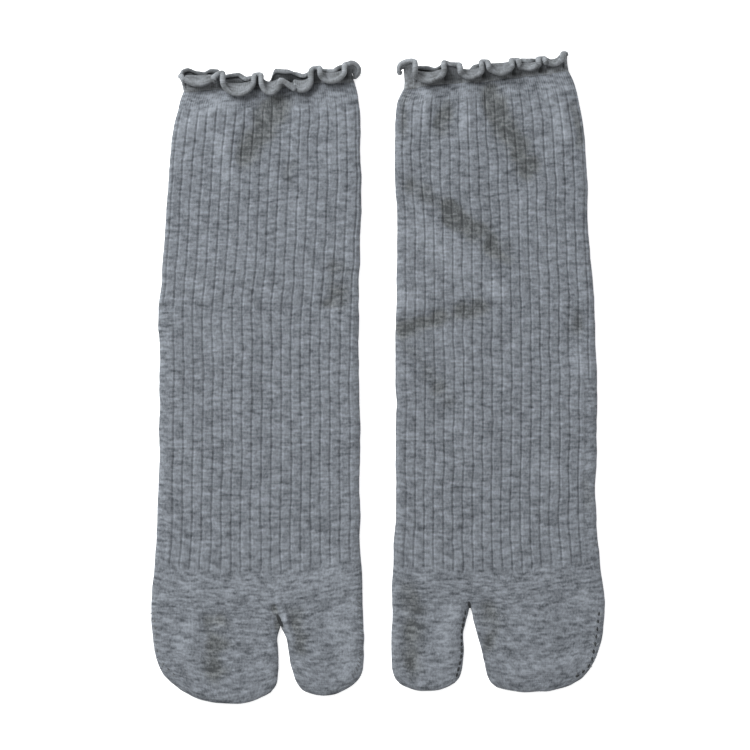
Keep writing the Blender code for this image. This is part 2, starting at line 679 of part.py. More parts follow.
def frill_curve(flat, place, wave):
    """The points of one column of the frill, from the seam to the rolled edge."""
    lean, drift, reach, rise = wave
    lean, drift, length = math.radians(lean), math.radians(drift), reach - FRILL_EDGES[-1][0]
    hook = flat.sock.hook
    near_hook = ease(1 - abs((place - hook.place + 1) % 2 - 1) / hook.half_breadth)
    curl = math.radians(hook.turn) * near_hook
    front = place <= 1
    part = place if front else 2 - place
    cuff, upwards = mouth_axes(flat)
    from_side = min(part, 1 - part) * (flat.right[0] - flat.left[0]).length
    height = rounded(from_side / FOLD_ROUND) * (1 if front else -1)
    level = HALF_HEIGHT + (HALF_HEIGHT - FRILL_WALL / 2) * height
    point = flat.crossing(0, part, FRILL_WALL / 2).to_3d() + CEILING * level + upwards * SEAM_GAP / 2
    path = [point]
    for step in range(FRILL_STEPS):
        climb = climb_at((step + 0.5) / FRILL_STEPS, length)
        turned = lean * min(max((climb - rise) / BEND_PART, 0), 1)
        sideways = drift + curl * ease((climb - hook.start) / (hook.end - hook.start))
        ahead = upwards * math.cos(turned) + CEILING * math.sin(turned)
        ahead = ahead * math.cos(sideways) + cuff * math.sin(sideways)
        point = point + ahead * ((length - FRILL_ROOT) / FRILL_STEPS)
        path.append(point)
    curve = [path[0]]
    for row in FRILL_ROWS:
        start = int(row * FRILL_STEPS)
        curve.append(path[start].lerp(path[start + 1], row * FRILL_STEPS - start))
    curve += [path[-1], path[-1] + (path[-1] - path[-2]).normalized() * FRILL_EDGES[-1][0]]
    for point, wall in zip(curve, frill_walls()):
        point.z = max(point.z, wall / 2)
    return curve


def frill_walls():
    """How thick the frill is at each of its rows."""
    return [FRILL_WALL] * (len(FRILL_ROWS) + 1) + [wall for _, wall in FRILL_EDGES]


def climb_at(part, length):
    """How far up the whole width of the frill a point is, of which a little is in the seam."""
    return (FRILL_ROOT + part * (length - FRILL_ROOT)) / length


def frill_columns(flat):
    """The columns of the frill, spread evenly along its edge and its seam together."""
    waves = soft_waves(flat.sock)
    curves = [frill_curve(flat, 2 * i / MOUTH_STEPS, wave) for i, wave in enumerate(waves)]
    runs = [0.0]
    for curve, following in zip(curves, curves[1:] + curves[:1]):
        moved = (following[0] - curve[0]).length + (following[-1] - curve[-1]).length
        runs.append(runs[-1] + moved)
    chosen = []
    for column in range(FRILL_COLUMNS):
        target = runs[-1] * column / FRILL_COLUMNS
        chosen.append(next(i for i in range(MOUTH_STEPS) if runs[i + 1] > target))
    return [curves[i] for i in chosen]


def make_frill(flat, material):
    """The frill: a band led round the mouth, whose long free edge waves out and back."""
    curves = frill_columns(flat)
    middle = bmesh.new()
    columns = [[middle.verts.new(point) for point in curve] for curve in curves]
    for column, next_column in zip(columns, columns[1:] + columns[:1]):
        for row in range(len(column) - 1):
            corners = (column[row], column[row + 1], next_column[row + 1], next_column[row])
            middle.faces.new(corners)
    middle.normal_update()
    _, upwards = mouth_axes(flat)

    bm = bmesh.new()
    outer_rings, inner_rings = [], []
    for row, wall in enumerate(frill_walls()):
        outer, inner = [], []
        for column in columns:
            point, out = column[row].co, column[row].normal
            if row == 0:  # the wall stands square on the seam
                out = (out - upwards * out.dot(upwards)).normalized()
            outer.append(bm.verts.new((point + out * wall / 2) * MM))
            inner.append(bm.verts.new((point - out * wall / 2) * MM))
        outer_rings.append(outer)
        inner_rings.append(inner)
    middle.free()
    for rings in (outer_rings, inner_rings):
        for ring, next_ring in zip(rings, rings[1:]):
            join_rings(bm, ring, next_ring)
    for row in (0, -1):
        join_rings(bm, outer_rings[row], inner_rings[row])
    return make_piece(f"{flat.sock.name}_frill", bm, material, flat.sock.middle)


def centre_on_surface(pieces):
    """Moves the pair so that the middle of its box is over the origin and it lies on Z = 0."""
    bpy.context.view_layer.update()
    corners = [piece.matrix_world @ Vector(corner) for piece in pieces for corner in piece.bound_box]
    low = Vector(min(corner[axis] for corner in corners) for axis in range(3))
    high = Vector(max(corner[axis] for corner in corners) for axis in range(3))
    middle = (low + high) / 2
    for piece in pieces:
        piece.location -= Vector((middle.x, middle.y, low.z))


def main():
    clear_scene()
    rib_knit = knit_material("rib knit", (0.198, 0.214, 0.238), 0.92)
    plain_knit = knit_material("plain knit", (0.205, 0.221, 0.246), 0.90)
    frill_knit = knit_material("frill knit", (0.215, 0.230, 0.252), 0.92)
    pieces = []
    for sock in (LEFT_SOCK, RIGHT_SOCK):
        flat = Flat(sock)
        pieces.append(make_frill(flat, frill_knit))
        pieces.append(make_ribbed_tube(flat, rib_knit))
        pieces.append(make_tabi_toe(flat, plain_knit))
    centre_on_surface(pieces)


main()
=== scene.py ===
# %% [markdown]
# # A pair of tabi socks with frilled cuffs, laid flat
#
# Each sock is knitted in one go on a round machine: a frill at the mouth, a ribbed leg and foot, and a
# plain toe that divides in two, one pocket for the big toe and one for the rest. Laid on a table it is
# a flat tube, two layers thick, with a soft fold down each side.
#
# The solids that carry collision are already placed. This file dresses them in cloth: it loads them as
# a fixed frame, sews a finer sock round the same folds, and lights the pair from above.

# %% Load the solids
import math

import bmesh
import bpy
import numpy as np
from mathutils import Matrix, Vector, kdtree, noise


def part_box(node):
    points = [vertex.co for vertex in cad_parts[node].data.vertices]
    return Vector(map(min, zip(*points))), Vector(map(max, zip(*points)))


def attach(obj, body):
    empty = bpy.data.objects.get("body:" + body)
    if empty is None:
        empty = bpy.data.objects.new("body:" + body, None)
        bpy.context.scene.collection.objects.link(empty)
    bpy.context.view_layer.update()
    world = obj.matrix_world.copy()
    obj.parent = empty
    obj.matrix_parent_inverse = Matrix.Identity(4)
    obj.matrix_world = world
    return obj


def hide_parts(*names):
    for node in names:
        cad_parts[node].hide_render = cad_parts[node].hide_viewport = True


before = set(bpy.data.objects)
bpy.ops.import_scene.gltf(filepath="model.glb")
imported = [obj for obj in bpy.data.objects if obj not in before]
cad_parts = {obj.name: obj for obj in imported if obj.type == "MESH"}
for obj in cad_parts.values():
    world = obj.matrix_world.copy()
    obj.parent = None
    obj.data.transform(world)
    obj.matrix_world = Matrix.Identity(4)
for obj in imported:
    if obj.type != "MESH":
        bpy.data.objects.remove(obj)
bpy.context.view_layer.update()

MM = 0.001
scene = bpy.context.scene


def put(name, data):
    """Adds an object that shows this data to the scene."""
    thing = bpy.data.objects.new(name, data)
    scene.collection.objects.link(thing)
    return thing


print("nodes:", sorted(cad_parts))

# %% [markdown]
# ## The camera
#
# The pair is seen from straight above, so a camera looks down the Z axis. A wide lens close by would
# show the raised frill leaning outwards, so a long lens is used from further away. A camera's sensor
# and lens give the width it sees at a distance, and that gives the distance for the width wanted.

# %% Place the camera
VIEW_WIDTH = 345.0  # mm of table across the square render
VIEW_MIDDLE = (-1.25, 1.24)  # mm
VIEW_LEVEL = 2.0  # height at which that width is seen, in mm
LENS = 120.0  # mm
SENSOR = 36.0  # mm

camera_data = bpy.data.cameras.new("camera")
camera_data.lens = LENS
camera_data.sensor_width = SENSOR
camera = put("camera", camera_data)
camera.location = Vector((*VIEW_MIDDLE, VIEW_LEVEL + VIEW_WIDTH * LENS / SENSOR)) * MM
scene.camera = camera
print("camera is", round(camera.location.z, 3), "m above the table")

# %% [markdown]
# ## The table and the light
#
# Knit shows its ribs by their small shadows, so one soft lamp shines from the upper left, low enough to
# graze the cloth. The pale world fills the shadows. The table is a plain white sheet that glows a little,
# as a light table does, so the socks cast hardly any shadow on it. It isn't part of the object. The
# Standard view keeps colours as they are worked out.

# %% Lay the table and light it
scene.view_settings.view_transform = "Standard"
scene.view_settings.look = "None"

WORLD_STRENGTH = 0.55
KEY_POWER = 33.8  # W
KEY_SIZE = 0.90  # m
KEY_PLACE = Vector((-0.84, 0.84, 1.08))  # m
TABLE_SIZE = 6.0  # m
TABLE_GLOW = 0.62

world = bpy.data.worlds.new("studio")
world.use_nodes = True
background = world.node_tree.nodes["Background"]
background.inputs["Color"].default_value = (0.965, 0.965, 0.965, 1)
background.inputs["Strength"].default_value = WORLD_STRENGTH
scene.world = world

key_data = bpy.data.lights.new("key", "AREA")
key_data.shape = "DISK"
key_data.size = KEY_SIZE
key_data.energy = KEY_POWER
key_data.color = (0.972, 0.988, 1.0)
key = put("key", key_data)
key.location = KEY_PLACE
key.rotation_euler = (-KEY_PLACE).to_track_quat("-Z", "Y").to_euler()

half = TABLE_SIZE / 2
corners = [(-half, -half, 0), (half, -half, 0), (half, half, 0), (-half, half, 0)]
table_mesh = bpy.data.meshes.new("table")
table_mesh.from_pydata(corners, [], [(0, 1, 2, 3)])
table = put("table", table_mesh)
table_material = bpy.data.materials.new("white table")
table_material.use_nodes = True
table_inputs = table_material.node_tree.nodes["Principled BSDF"].inputs
table_inputs["Base Color"].default_value = (0.93, 0.93, 0.93, 1)
table_inputs["Roughness"].default_value = 0.9
table_inputs["Emission Color"].default_value = (1, 1, 1, 1)
table_inputs["Emission Strength"].default_value = TABLE_GLOW
table_mesh.materials.append(table_material)
print("the lamp is", round(KEY_PLACE.length, 2), "m from the middle of the table")

# %% [markdown]
# ## Measuring the socks
#
# A flat sock is easiest to describe by crossings: lines from one side fold to the other, each a few
# centimetres below the last. A smooth curve through their ends gives the outline. How far the middle
# of a crossing bows towards the toes gives the curve of the knitted rows. Lengths are in millimetres,
# measured from the middle of each sock.

# %% Tables of crossings
# left fold x, y, right fold x, y, bow, from the cuff down
LEFT_TUBE = np.array([
    (-35, 131.6, 43.2, 136.2, 0.5),  # cuff seam
    (-37.4, 125.2, 45.1, 128.6, 0.8),
    (-39.4, 116.6, 46.2, 118.6, 1),
    (-41, 103.5, 46.4, 104.9, 1),
    (-42.4, 86, 46.6, 86.9, 0.8),
    (-43.9, 66.5, 46.5, 67, 0.6),
    (-45.1, 46, 45.7, 46, 0.5),
    (-46.9, 29, 45.4, 29, 0.5),  # heel
    (-46.1, 14, 45.5, 14, 0.5),
    (-46.1, -6, 45.9, -6, 0.5),
    (-46.3, -30, 46.1, -30, 0.8),
    (-46.8, -54, 46, -54, 1.5),
    (-47.4, -73, 46.2, -72.5, 3),
    (-48.4, -86.9, 46.9, -85.2, 5),  # the ribs end
    (-49.7, -99, 47.4, -98, 4),
    (-50.2, -112.4, 47.3, -112.4, 2),  # the toe divides
])
RIGHT_TUBE = np.array([
    (-42.3, 133, 33.1, 140.8, 0.5),
    (-45.2, 126.4, 36.7, 132.2, 0.8),
    (-46.5, 116.6, 39.3, 121, 1),
    (-46.8, 103, 41, 105.3, 1),
    (-46.4, 87.4, 42, 88.6, 0.8),
    (-45.4, 71.2, 42.5, 71.5, 0.6),
    (-45.8, 54, 43.7, 54, 0.5),
    (-45.9, 37, 45.1, 37, 0.5),
    (-46.1, 20, 45.6, 20, 0.5),
    (-46, -1, 46.4, -1, 0.5),
    (-46.2, -24, 46.4, -24, 0.6),
    (-46.2, -46, 46, -46, 1.2),
    (-46.5, -66, 46, -65.5, 2.4),
    (-47.2, -87.7, 48, -85.7, 3.8),
    (-47.7, -96, 49.1, -94.5, 2.4),
    (-47.9, -104.4, 50, -104, 0.9),
])
RIB_END = 13  # the row of both tables where the ribs end

# side fold x, y, cleft x, y, bow, from where the toe divides to the tip
LEFT_FOUR_TOES = np.array([
    (-49.5, -121.5, 8.3, -121, 0.8),
    (-47.8, -130, 8.8, -130, 2.6),
    (-45.2, -136, 8.6, -136.6, 4.6),
    (-43.4, -138.3, 7.6, -141.6, 6.2),
    (-41.2, -140.4, 5.2, -145.4, 7.1),
])
LEFT_BIG_TOE = np.array([
    (47.7, -121.5, 12.5, -121, 0.3),
    (47.8, -130.2, 14, -130, 1.4),
    (47, -136, 15.2, -136.2, 2.6),
    (45.4, -139, 16.5, -140.2, 3.4),
    (42.9, -141.6, 19.2, -143.5, 3.9),
])
RIGHT_BIG_TOE = np.array([
    (-48, -117, -14.6, -117, 0.3),
    (-47.9, -127.4, -15, -127, 1),
    (-47.5, -134.6, -15.6, -134, 2.1),
    (-46.4, -138.2, -16.7, -137.8, 2.8),
    (-44.4, -141, -19.2, -140.7, 3.6),
])
RIGHT_FOUR_TOES = np.array([
    (49.4, -115.5, -9.3, -115.5, 0.8),
    (47.6, -125, -6.6, -125, 1.6),
    (43.6, -133.6, -4.8, -133.6, 2.8),
    (40, -138, -3, -139.4, 3),
    (35, -141.1, 0.2, -142.8, 3),
])
LEFT_CLEFT, RIGHT_CLEFT = 0.614, 0.366  # where the toe divides, as a part of the width
print(len(LEFT_TUBE), "and", len(RIGHT_TUBE), "crossings")

# %% [markdown]
# ## Smooth curves through a table
#
# A table has only a few rows, so the points between them come from a smooth curve that passes every
# row. It leaves each row in the direction from the row before it to the row after it. Sums on whole
# arrays place thousands of points at once, which a loop in Python would do slowly.

# %% Curves and soft steps
NOISE_GAIN = 1.6  # brings Blender's noise to about -1 to 1


def through(values, places):
    """Where a smooth curve is at some places; it passes the values at places 0, 1, 2 and so on."""
    values = np.asarray(values, float)
    places = np.clip(np.asarray(places, float), 0, len(values) - 1)
    before_first, after_last = 2 * values[0] - values[1], 2 * values[-1] - values[-2]
    padded = np.concatenate([[before_first], values, [after_last]])
    start = np.minimum(places.astype(int), len(values) - 2)
    part = (places - start).reshape(places.shape + (1,) * (values.ndim - 1))
    before, here, there, after = (padded[start + i] for i in range(4))
    slope, next_slope = (there - before) / 2, (after - here) / 2
    bend = (there - here) * 3 - slope * 2 - next_slope
    twist = (here - there) * 2 + slope + next_slope
    return here + slope * part + bend * part**2 + twist * part**3


def ease(part):
    part = np.clip(part, 0, 1)
    return part * part * (3 - 2 * part)


def rounded(part):
    """The height of a quarter circle, from 0 at its start to 1 at its end."""
    return np.sqrt(1 - (1 - np.clip(part, 0, 1)) ** 2)


def unit(vectors):
    return vectors / np.linalg.norm(vectors, axis=-1, keepdims=True)


def soft_noise(points, size, seed):
    """A smooth random value from about -1 to 1 for each point, which changes over about size mm."""
    flat = points.reshape(-1, 2) / size
    values = [noise.noise((x, y, seed)) for x, y in flat]
    return np.array(values).reshape(points.shape[:-1]) * NOISE_GAIN


print("halfway between 2 and 4:", through([1, 2, 4, 5], [1.5]))

# %% [markdown]
# ## One flat sock
#
# `crossing` finds a point on the leg or foot, and `pocket` one on a toe pocket. The distance from a
# point to the nearest fold is what rounds the sock: the two layers part at the fold and are full height
# a few millimetres in. A search tree of points along the outline makes that distance quick to find.

# %% Find a point on a sock
HALF_HEIGHT = 1.9  # the level of the side folds, halfway up
FOLD_ROUND = 3.6  # how far in from a fold a layer is at its full height
WALL = 1.6
BOW_POWER = 2.3  # 2 would bow a pocket's rows as a parabola; more is flatter in the middle


def across_from(start, end, part, inset):
    """A point on the line from start to end; inset keeps it that far from both."""
    inwards = unit(end - start) * inset
    return start + inwards + (end - start - 2 * inwards) * part[..., None]


class FlatSock:
    """The outline of one sock: place runs down it from 0 at the cuff, and part runs across it."""

    def __init__(self, tube, left_pocket, right_pocket, cleft_part):
        self.sides = [
            np.concatenate([tube[:, 0:2], left_pocket[:, 0:2]]),
            np.concatenate([tube[:, 2:4], right_pocket[:, 0:2]]),
        ]
        self.bows = tube[:, 4]
        self.divide = len(tube) - 1
        self.pockets = (left_pocket, right_pocket)
        self.cleft_part = cleft_part
        self.cleft = self.crossing(self.divide, cleft_part)
        self.outline = self.outline_tree()

    def crossing(self, place, part, inset=0.0):
        """A point on the leg or foot: part is 0 at the left fold and 1 at the right one."""
        place, part = np.broadcast_arrays(np.asarray(place, float), np.asarray(part, float))
        left, right = (through(side, place) for side in self.sides)
        point = across_from(left, right, part, inset)
        point[..., 1] -= through(self.bows, np.minimum(place, self.divide)) * 4 * part * (1 - part)
        return point

    def pocket(self, number, place, part, inset=0.0):
        """A point on a toe pocket, 0 for the left one: part is 0 at its side fold and 1 at the cleft."""
        place, part = np.broadcast_arrays(np.asarray(place, float), np.asarray(part, float))
        rows = self.pockets[number]
        side = through(self.sides[number], self.divide + place)
        cleft = through(np.vstack([self.cleft, rows[:, 2:4]]), place)
        point = across_from(side, cleft, part, inset)
        # a row near the crossing above keeps the bow that the crossing has there
        across = abs(number - part * abs(number - self.cleft_part))
        fold = self.crossing(self.divide, float(number))
        slack = self.crossing(self.divide, across) - fold - (self.cleft - fold) * part[..., None]
        point += slack * np.maximum(0, 1 - place)[..., None] ** 2
        bow = through(np.append(0, rows[:, 4]), place) * (1 - abs(2 * part - 1) ** BOW_POWER)
        point[..., 1] += inset * place / len(rows) - bow
        return point

    def outline_tree(self):
        """A search tree of closely spaced points along every fold."""
        lines = [through(side, np.linspace(0, len(side) - 1, 3800)) for side in self.sides]
        for number, rows in enumerate(self.pockets):
            lines.append(self.pocket(number, len(rows), np.linspace(0, 1, 600)))
            lines.append(self.pocket(number, np.linspace(0, len(rows), 500), 1))
        points = np.concatenate(lines)
        tree = kdtree.KDTree(len(points))
        for index, (x, y) in enumerate(points):
            tree.insert((x, y, 0), index)
        tree.balance()
        return tree

    def from_fold(self, points):
        """How far each point is from the nearest fold, in mm."""
        flat = points.reshape(-1, 2)
        distances = [self.outline.find((x, y, 0))[2] for x, y in flat]
        return np.array(distances).reshape(points.shape[:-1])


left_flat = FlatSock(LEFT_TUBE, LEFT_FOUR_TOES, LEFT_BIG_TOE, LEFT_CLEFT)
right_flat = FlatSock(RIGHT_TUBE, RIGHT_BIG_TOE, RIGHT_FOUR_TOES, RIGHT_CLEFT)
print("the clefts are at", left_flat.cleft.round(1), right_flat.cleft.round(1))

# %% [markdown]
# ## Where each sock lies
#
# The solids show where a sock's own middle is in the shared frame. The middle of its toe and the lowest
# point of its tips are known from the tables, and the box of the toe's solid shows the same two in the
# frame, so the differences place the sock.

# %% Place the socks
def sock_origin(flat, name):
    """The middle of the sock in the frame, in mm, from the box of its toe."""
    low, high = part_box(f"{name}_tabi_toe")
    left, right = (through(side, np.linspace(RIB_END, len(side) - 1, 2000)) for side in flat.sides)
    middle = (left[:, 0].min() + right[:, 0].max()) / 2
    tip = np.linspace(0, 1, 400)
    lowest = min(flat.pocket(number, len(flat.pockets[number]), tip)[:, 1].min() for number in (0, 1))
    return np.array([(low.x + high.x) / 2 / MM - middle, low.y / MM - lowest])


left_origin = sock_origin(left_flat, "left")
right_origin = sock_origin(right_flat, "right")
print("origins, mm:", left_origin.round(2), right_origin.round(2))

# %% [markdown]
# ## Folds and hollows
#
# A sock that has been pressed flat by hand keeps soft ridges and hollows. No two are alike, so each one
# is listed on its own: a line, how wide it is and how far it lifts or lowers the upper layer. A little
# random lift between them keeps any patch from being perfectly flat.

# %% Tables of folds
# x and y of its start, x and y of its end, how wide it is to either side, lift
LEFT_FOLDS = np.array([
    (7.8, 125, -6.4, 102.1, 5.8, -1.2),
    (-15.2, 126, -33.6, 115, 4, 1),
    (-17, 109, -12.4, 87.4, 3.6, 0.8),
    (28.5, 130, 36.8, 118, 4, 0.7),
    (18, 122, 19, 104, 3, 0.3),
    (15.2, 97, 14, 88, 4, -0.4),
    (36.8, 49.2, 35, 35.4, 6, -0.55),
    (-46, 32.7, 42.8, 34, 1.7, -0.3),
    (-20.6, -113.5, -20.7, -134.7, 5.6, -0.9),
    (-32.2, -110, -34, -126.6, 4, 0.8),
    (7.6, -106, 9, -114.5, 2, -0.9),
    (8.4, -102.5, 12.2, -111.5, 1.3, 1.2),
    (12.2, -111.5, 14.6, -121, 1.3, 1.2),
    (16.6, -110, 18.2, -124, 4.4, -0.65),
    (36.8, -111, 41.4, -127.9, 4, 0.8),
    (35.9, -139.4, 42.3, -135.7, 2.6, 0.5),
    (33.6, -90.2, 38, -96, 5, 0.5),
    (-34, -98, 20, -97, 4, 0.3),
])
RIGHT_FOLDS = np.array([
    (-2.8, 129, 14.2, 96.6, 5.2, -1.15),
    (-24.4, 121.9, -24.4, 116, 4.8, -0.85),
    (-31.8, 128.3, -33.1, 118, 3, 0.7),
    (-13.4, 130, -14.2, 114, 3, 0.7),
    (23.4, 127.4, 32.6, 111.3, 3.6, 0.9),
    (35.4, 125.1, 37.4, 108, 2.6, -0.7),
    (-41.5, 130, -43, 112, 2.4, -0.6),
    (-39.6, 89.2, -21.2, 75.4, 4.4, -0.65),
    (-21.2, 75.4, 3.2, 56.1, 4.6, -1),
    (-12, 94, -4, 84, 5, -0.3),
    (-35, 68, -14, 46.9, 6, 0.5),
    (-42.3, 35.4, -38, 32.7, 3, 0.9),
    (-43.3, 22.1, -6, 32.7, 3.8, -1),
    (-1.4, 38.6, 1.5, 37, 3.2, 0.9),
    (-38.2, 13.8, -22.6, -11.5, 4.4, -0.5),
    (-16.6, 7, -14.8, 1, 4, 0.5),
    (38.6, 12.4, 39.5, -3.7, 3, 0.6),
    (21.6, -41.4, 24, -43, 5, 0.6),
    (35.4, 28.6, 37, 23, 4, -0.5),
    (41.5, -48, 42, -60, 2.6, -0.4),
    (-37.8, -100.6, -38.8, -132.5, 5.6, -0.8),
    (-21.2, -109.8, -22.1, -128.9, 3.4, 0.8),
    (-3.2, -106.1, -2.7, -122, 4.2, -0.65),
    (6.4, -137.1, 34.3, -131.1, 3, 0.6),
    (-13.4, -92, -13, -99, 3, -0.3),
])


def folds_lift(points, folds):
    """How far the folds move the upper layer at each point, in some places more than in others."""
    total = np.zeros(points.shape[:-1])
    for x0, y0, x1, y1, width, lift in folds:
        along = np.array([x1 - x0, y1 - y0])
        part = np.clip(((points - (x0, y0)) @ along) / (along @ along), 0, 1)
        distance = np.linalg.norm(points - (x0, y0) - part[..., None] * along, axis=-1)
        total += lift * ease(1 - distance / (2 * width))
    return total * (1 + 0.5 * soft_noise(points, 6.0, 71.0))


def lift_at(points, origin, folds):
    """The same with a soft unevenness, long and low, and a finer one that runs across the sock."""
    place = points + origin
    ripples = 0.15 * soft_noise(place, 16.0, 2.0) + 0.13 * soft_noise(place * (0.55, 1.0), 4.5, 5.0)
    return folds_lift(points, folds) + ripples


def drift(points):
    """How far each point strays sideways, so that no edge is a perfect curve."""
    strays = []
    for seed in (11.5, 47.5):
        strays.append(0.35 * soft_noise(points, 13.0, seed) + 0.14 * soft_noise(points, 4.0, seed))
    return np.stack(strays, axis=-1)


print(len(LEFT_FOLDS) + len(RIGHT_FOLDS), "folds")

# %% [markdown]
# ## Columns of stitches
#
# Knit is counted in wales, the columns of stitches, and courses, the rows. Here a rib is three raised
# wales and one sunk wale, the groove. The mesh has its own columns at fixed wales, close together
# beside each groove and far apart on top of a rib, so its edges run down the cloth as the ribs do.

# %% Lay out the columns of the upper layer
COURSE = 0.92  # mm from one row of stitches to the next
RIB_WALES = 4
CUFF_ROW, TOE_ROW = 4.0, 9.0  # the heel's narrowing changes the spacing between these rows
RIB_COLUMNS = (0.0, 0.3, 0.6, 1.0, 1.5, 2.0, 2.5, 3.0, 3.4, 3.7)
MARGIN = 12  # columns between a side fold and the nearest full wale
TURN_ROWS = 3  # rows of the table over which the columns lean towards the cleft

# grooves: the first one from the left fold and the spacing, as parts of the width, at cuff and toe
# wales: the first and the last that have a column of their own
# welt: the plain band under the cuff in mm; uneven: how much its lower end wavers
# stops: where a groove is missing, from wale, to wale, from y, to y
LEFT_KNIT = {
    "grooves": (0.0744, 0.0503, 0.0750, 0.0487),
    "wales": (-4.8, 72.6),
    "welt": 7.8,
    "uneven": 1.8,
    "stops": [(-9, -2, -200, 34.0), (-2, 2, 25.6, 31.0)],
}
RIGHT_KNIT = {
    "grooves": (0.0444, 0.0496, 0.0520, 0.0478),
    "wales": (-0.6, 76.6),
    "welt": 5.8,
    "uneven": 1.4,
    "stops": [(74, 90, -200, 1.0)],
}


def groove_spacing(place, knit):
    """Where the first groove is, and how far it is to the next, as parts of the width."""
    cuff_first, cuff_pitch, toe_first, toe_pitch = knit["grooves"]
    down = np.clip((place - CUFF_ROW) / (TOE_ROW - CUFF_ROW), 0, 1)
    return cuff_first + (toe_first - cuff_first) * down, cuff_pitch + (toe_pitch - cuff_pitch) * down


def layer_columns(flat, place, knit):
    """The parts across the sock at which each row of the upper layer has its points."""
    first, last = knit["wales"]
    ribs = range(-RIB_WALES, int(last) + 1, RIB_WALES)
    wales = np.array([rib + wale for rib in ribs for wale in RIB_COLUMNS])
    wales = wales[(wales >= first) & (wales <= last)]
    first_groove, pitch = groove_spacing(place[:, None], knit)
    inner = first_groove + wales / RIB_WALES * pitch
    margin = np.linspace(0, 1, MARGIN + 1)[:-1] ** 1.5  # closer together towards the fold
    left = inner[:, :1] * margin
    right = 1 - (1 - inner[:, -1:]) * margin[::-1]
    columns = np.hstack([left, inner, right])
    cleft = np.argmin(abs(columns[-1] - flat.cleft_part))
    nearest = columns[:, cleft : cleft + 1]
    turned = ease((place[:, None] - (flat.divide - TURN_ROWS)) / TURN_ROWS)
    target = nearest * (1 - turned) + flat.cleft_part * turned
    leaning = np.where(
        columns <= nearest,
        columns * target / nearest,
        1 - (1 - columns) * (1 - target) / (1 - nearest),
    )
    return leaning, cleft


test_columns, test_cleft = layer_columns(left_flat, np.array([0.0, 15.0]), LEFT_KNIT)
print(test_columns.shape[1], "columns, the cleft is at column", test_cleft)

# %% [markdown]
# ## Gathering points into a shell
#
# Each sock is one closed skin: the outside of both layers, the inside of both layers, and the rim of
# the mouth that joins them. Grids of points are joined by four-sided faces. Where a closely spaced row
# meets a coarse one, as along a rim, triangles zip the two together so that no crack is left. Each
# point also keeps its wale, its course and how strongly the knit is ribbed there, for the material.

# %% Gather grids into a mesh
WELD = 0.004  # points closer than this, in mm, become one
FACTS = ("wale", "course", "rib", "fold")


class Shell:
    def __init__(self):
        self.points, self.facts, self.faces = [], [], []
        self.count = 0

    def add(self, points, *facts):
        """Adds a grid of points with one value of each fact, and returns the grid of their numbers."""
        shape = points.shape[:-1]
        numbers = np.arange(self.count, self.count + math.prod(shape)).reshape(shape)
        self.points.append(points.reshape(-1, 3))
        grids = [np.broadcast_to(fact, shape) for fact in facts]
        self.facts.append(np.stack(grids, axis=-1).reshape(-1, len(facts)))
        self.count += math.prod(shape)
        return numbers

    def fill(self, numbers):
        """Joins a grid of point numbers by four-sided faces."""
        corners = (numbers[:-1, :-1], numbers[:-1, 1:], numbers[1:, 1:], numbers[1:, :-1])
        self.faces += np.stack(corners, axis=-1).reshape(-1, 4).tolist()

    def zip_rows(self, row, parts, other, other_parts):
        """Joins two rows with different numbers of points; parts say how far along each one is."""
        i = j = 0
        while i < len(row) - 1 or j < len(other) - 1:
            if j == len(other) - 1 or (i < len(row) - 1 and parts[i + 1] <= other_parts[j + 1]):
                self.faces.append([row[i], row[i + 1], other[j]])
                i += 1
            else:
                self.faces.append([row[i], other[j + 1], other[j]])
                j += 1

    def make(self, name, origin, material):
        """Makes the object, with its points in the frame in metres and its facts as attributes."""
        points = np.concatenate(self.points)
        points[:, :2] += drift(points[:, :2] + origin) + origin
        mesh = bpy.data.meshes.new(name)
        mesh.from_pydata((points * MM).tolist(), [], [[int(v) for v in face] for face in self.faces])
        facts = np.concatenate(self.facts)
        for index, fact in enumerate(FACTS):
            attribute = mesh.attributes.new(fact, "FLOAT", "POINT")
            attribute.data.foreach_set("value", np.ascontiguousarray(facts[:, index], np.float32))
        bm = bmesh.new()
        bm.from_mesh(mesh)
        bmesh.ops.remove_doubles(bm, verts=bm.verts, dist=WELD * MM)
        bmesh.ops.recalc_face_normals(bm, faces=bm.faces)
        open_edges = sum(not edge.is_manifold for edge in bm.edges)
        bm.to_mesh(mesh)
        bm.free()
        mesh.shade_smooth()
        mesh.materials.append(material)
        piece = put(name, mesh)
        triangles = sum(len(face.vertices) - 2 for face in mesh.polygons)
        print(name, "has", triangles, "triangles and", open_edges, "open edges")
        return piece


test_shell = Shell()
test_shell.fill(test_shell.add(np.zeros((3, 4, 3)), 0.0))
print("a grid of", test_shell.count, "points has", len(test_shell.faces), "faces")

# %% [markdown]
# ## Ribs
#
# A groove is one sunk wale between rounded shoulders, so the height across a rib depends only on how
# many wales away the nearest groove is. The band under the cuff and the toe are plain, so the ribs
# rise out of the one and sink into the other. Beside the heel the outermost grooves stop early.

# %% Shape the ribs
RIB_FADE = 2.6  # mm over which the ribs rise and sink
STOP_FADE = 1.5  # the same where one groove stops
GROOVE_DEPTH = 0.25
SHOULDER_RISE = 0.30
WALE_RISE = 0.04  # of each single wale on top of a rib
GROOVE_FLOOR, GROOVE_SIDE = 0.05, 0.60  # half the breadth of the floor and that of one side, in wales


def rib_height(wale):
    """The height of a full rib above plain cloth, by its wale; the grooves are at 0, 4, 8 and so on."""
    away = abs(wale - RIB_WALES * np.round(wale / RIB_WALES))
    groove = -GROOVE_DEPTH + (GROOVE_DEPTH + SHOULDER_RISE) * ease((away - GROOVE_FLOOR) / GROOVE_SIDE)
    return groove + WALE_RISE * np.cos(2 * math.pi * away) * ease(away / 0.8)


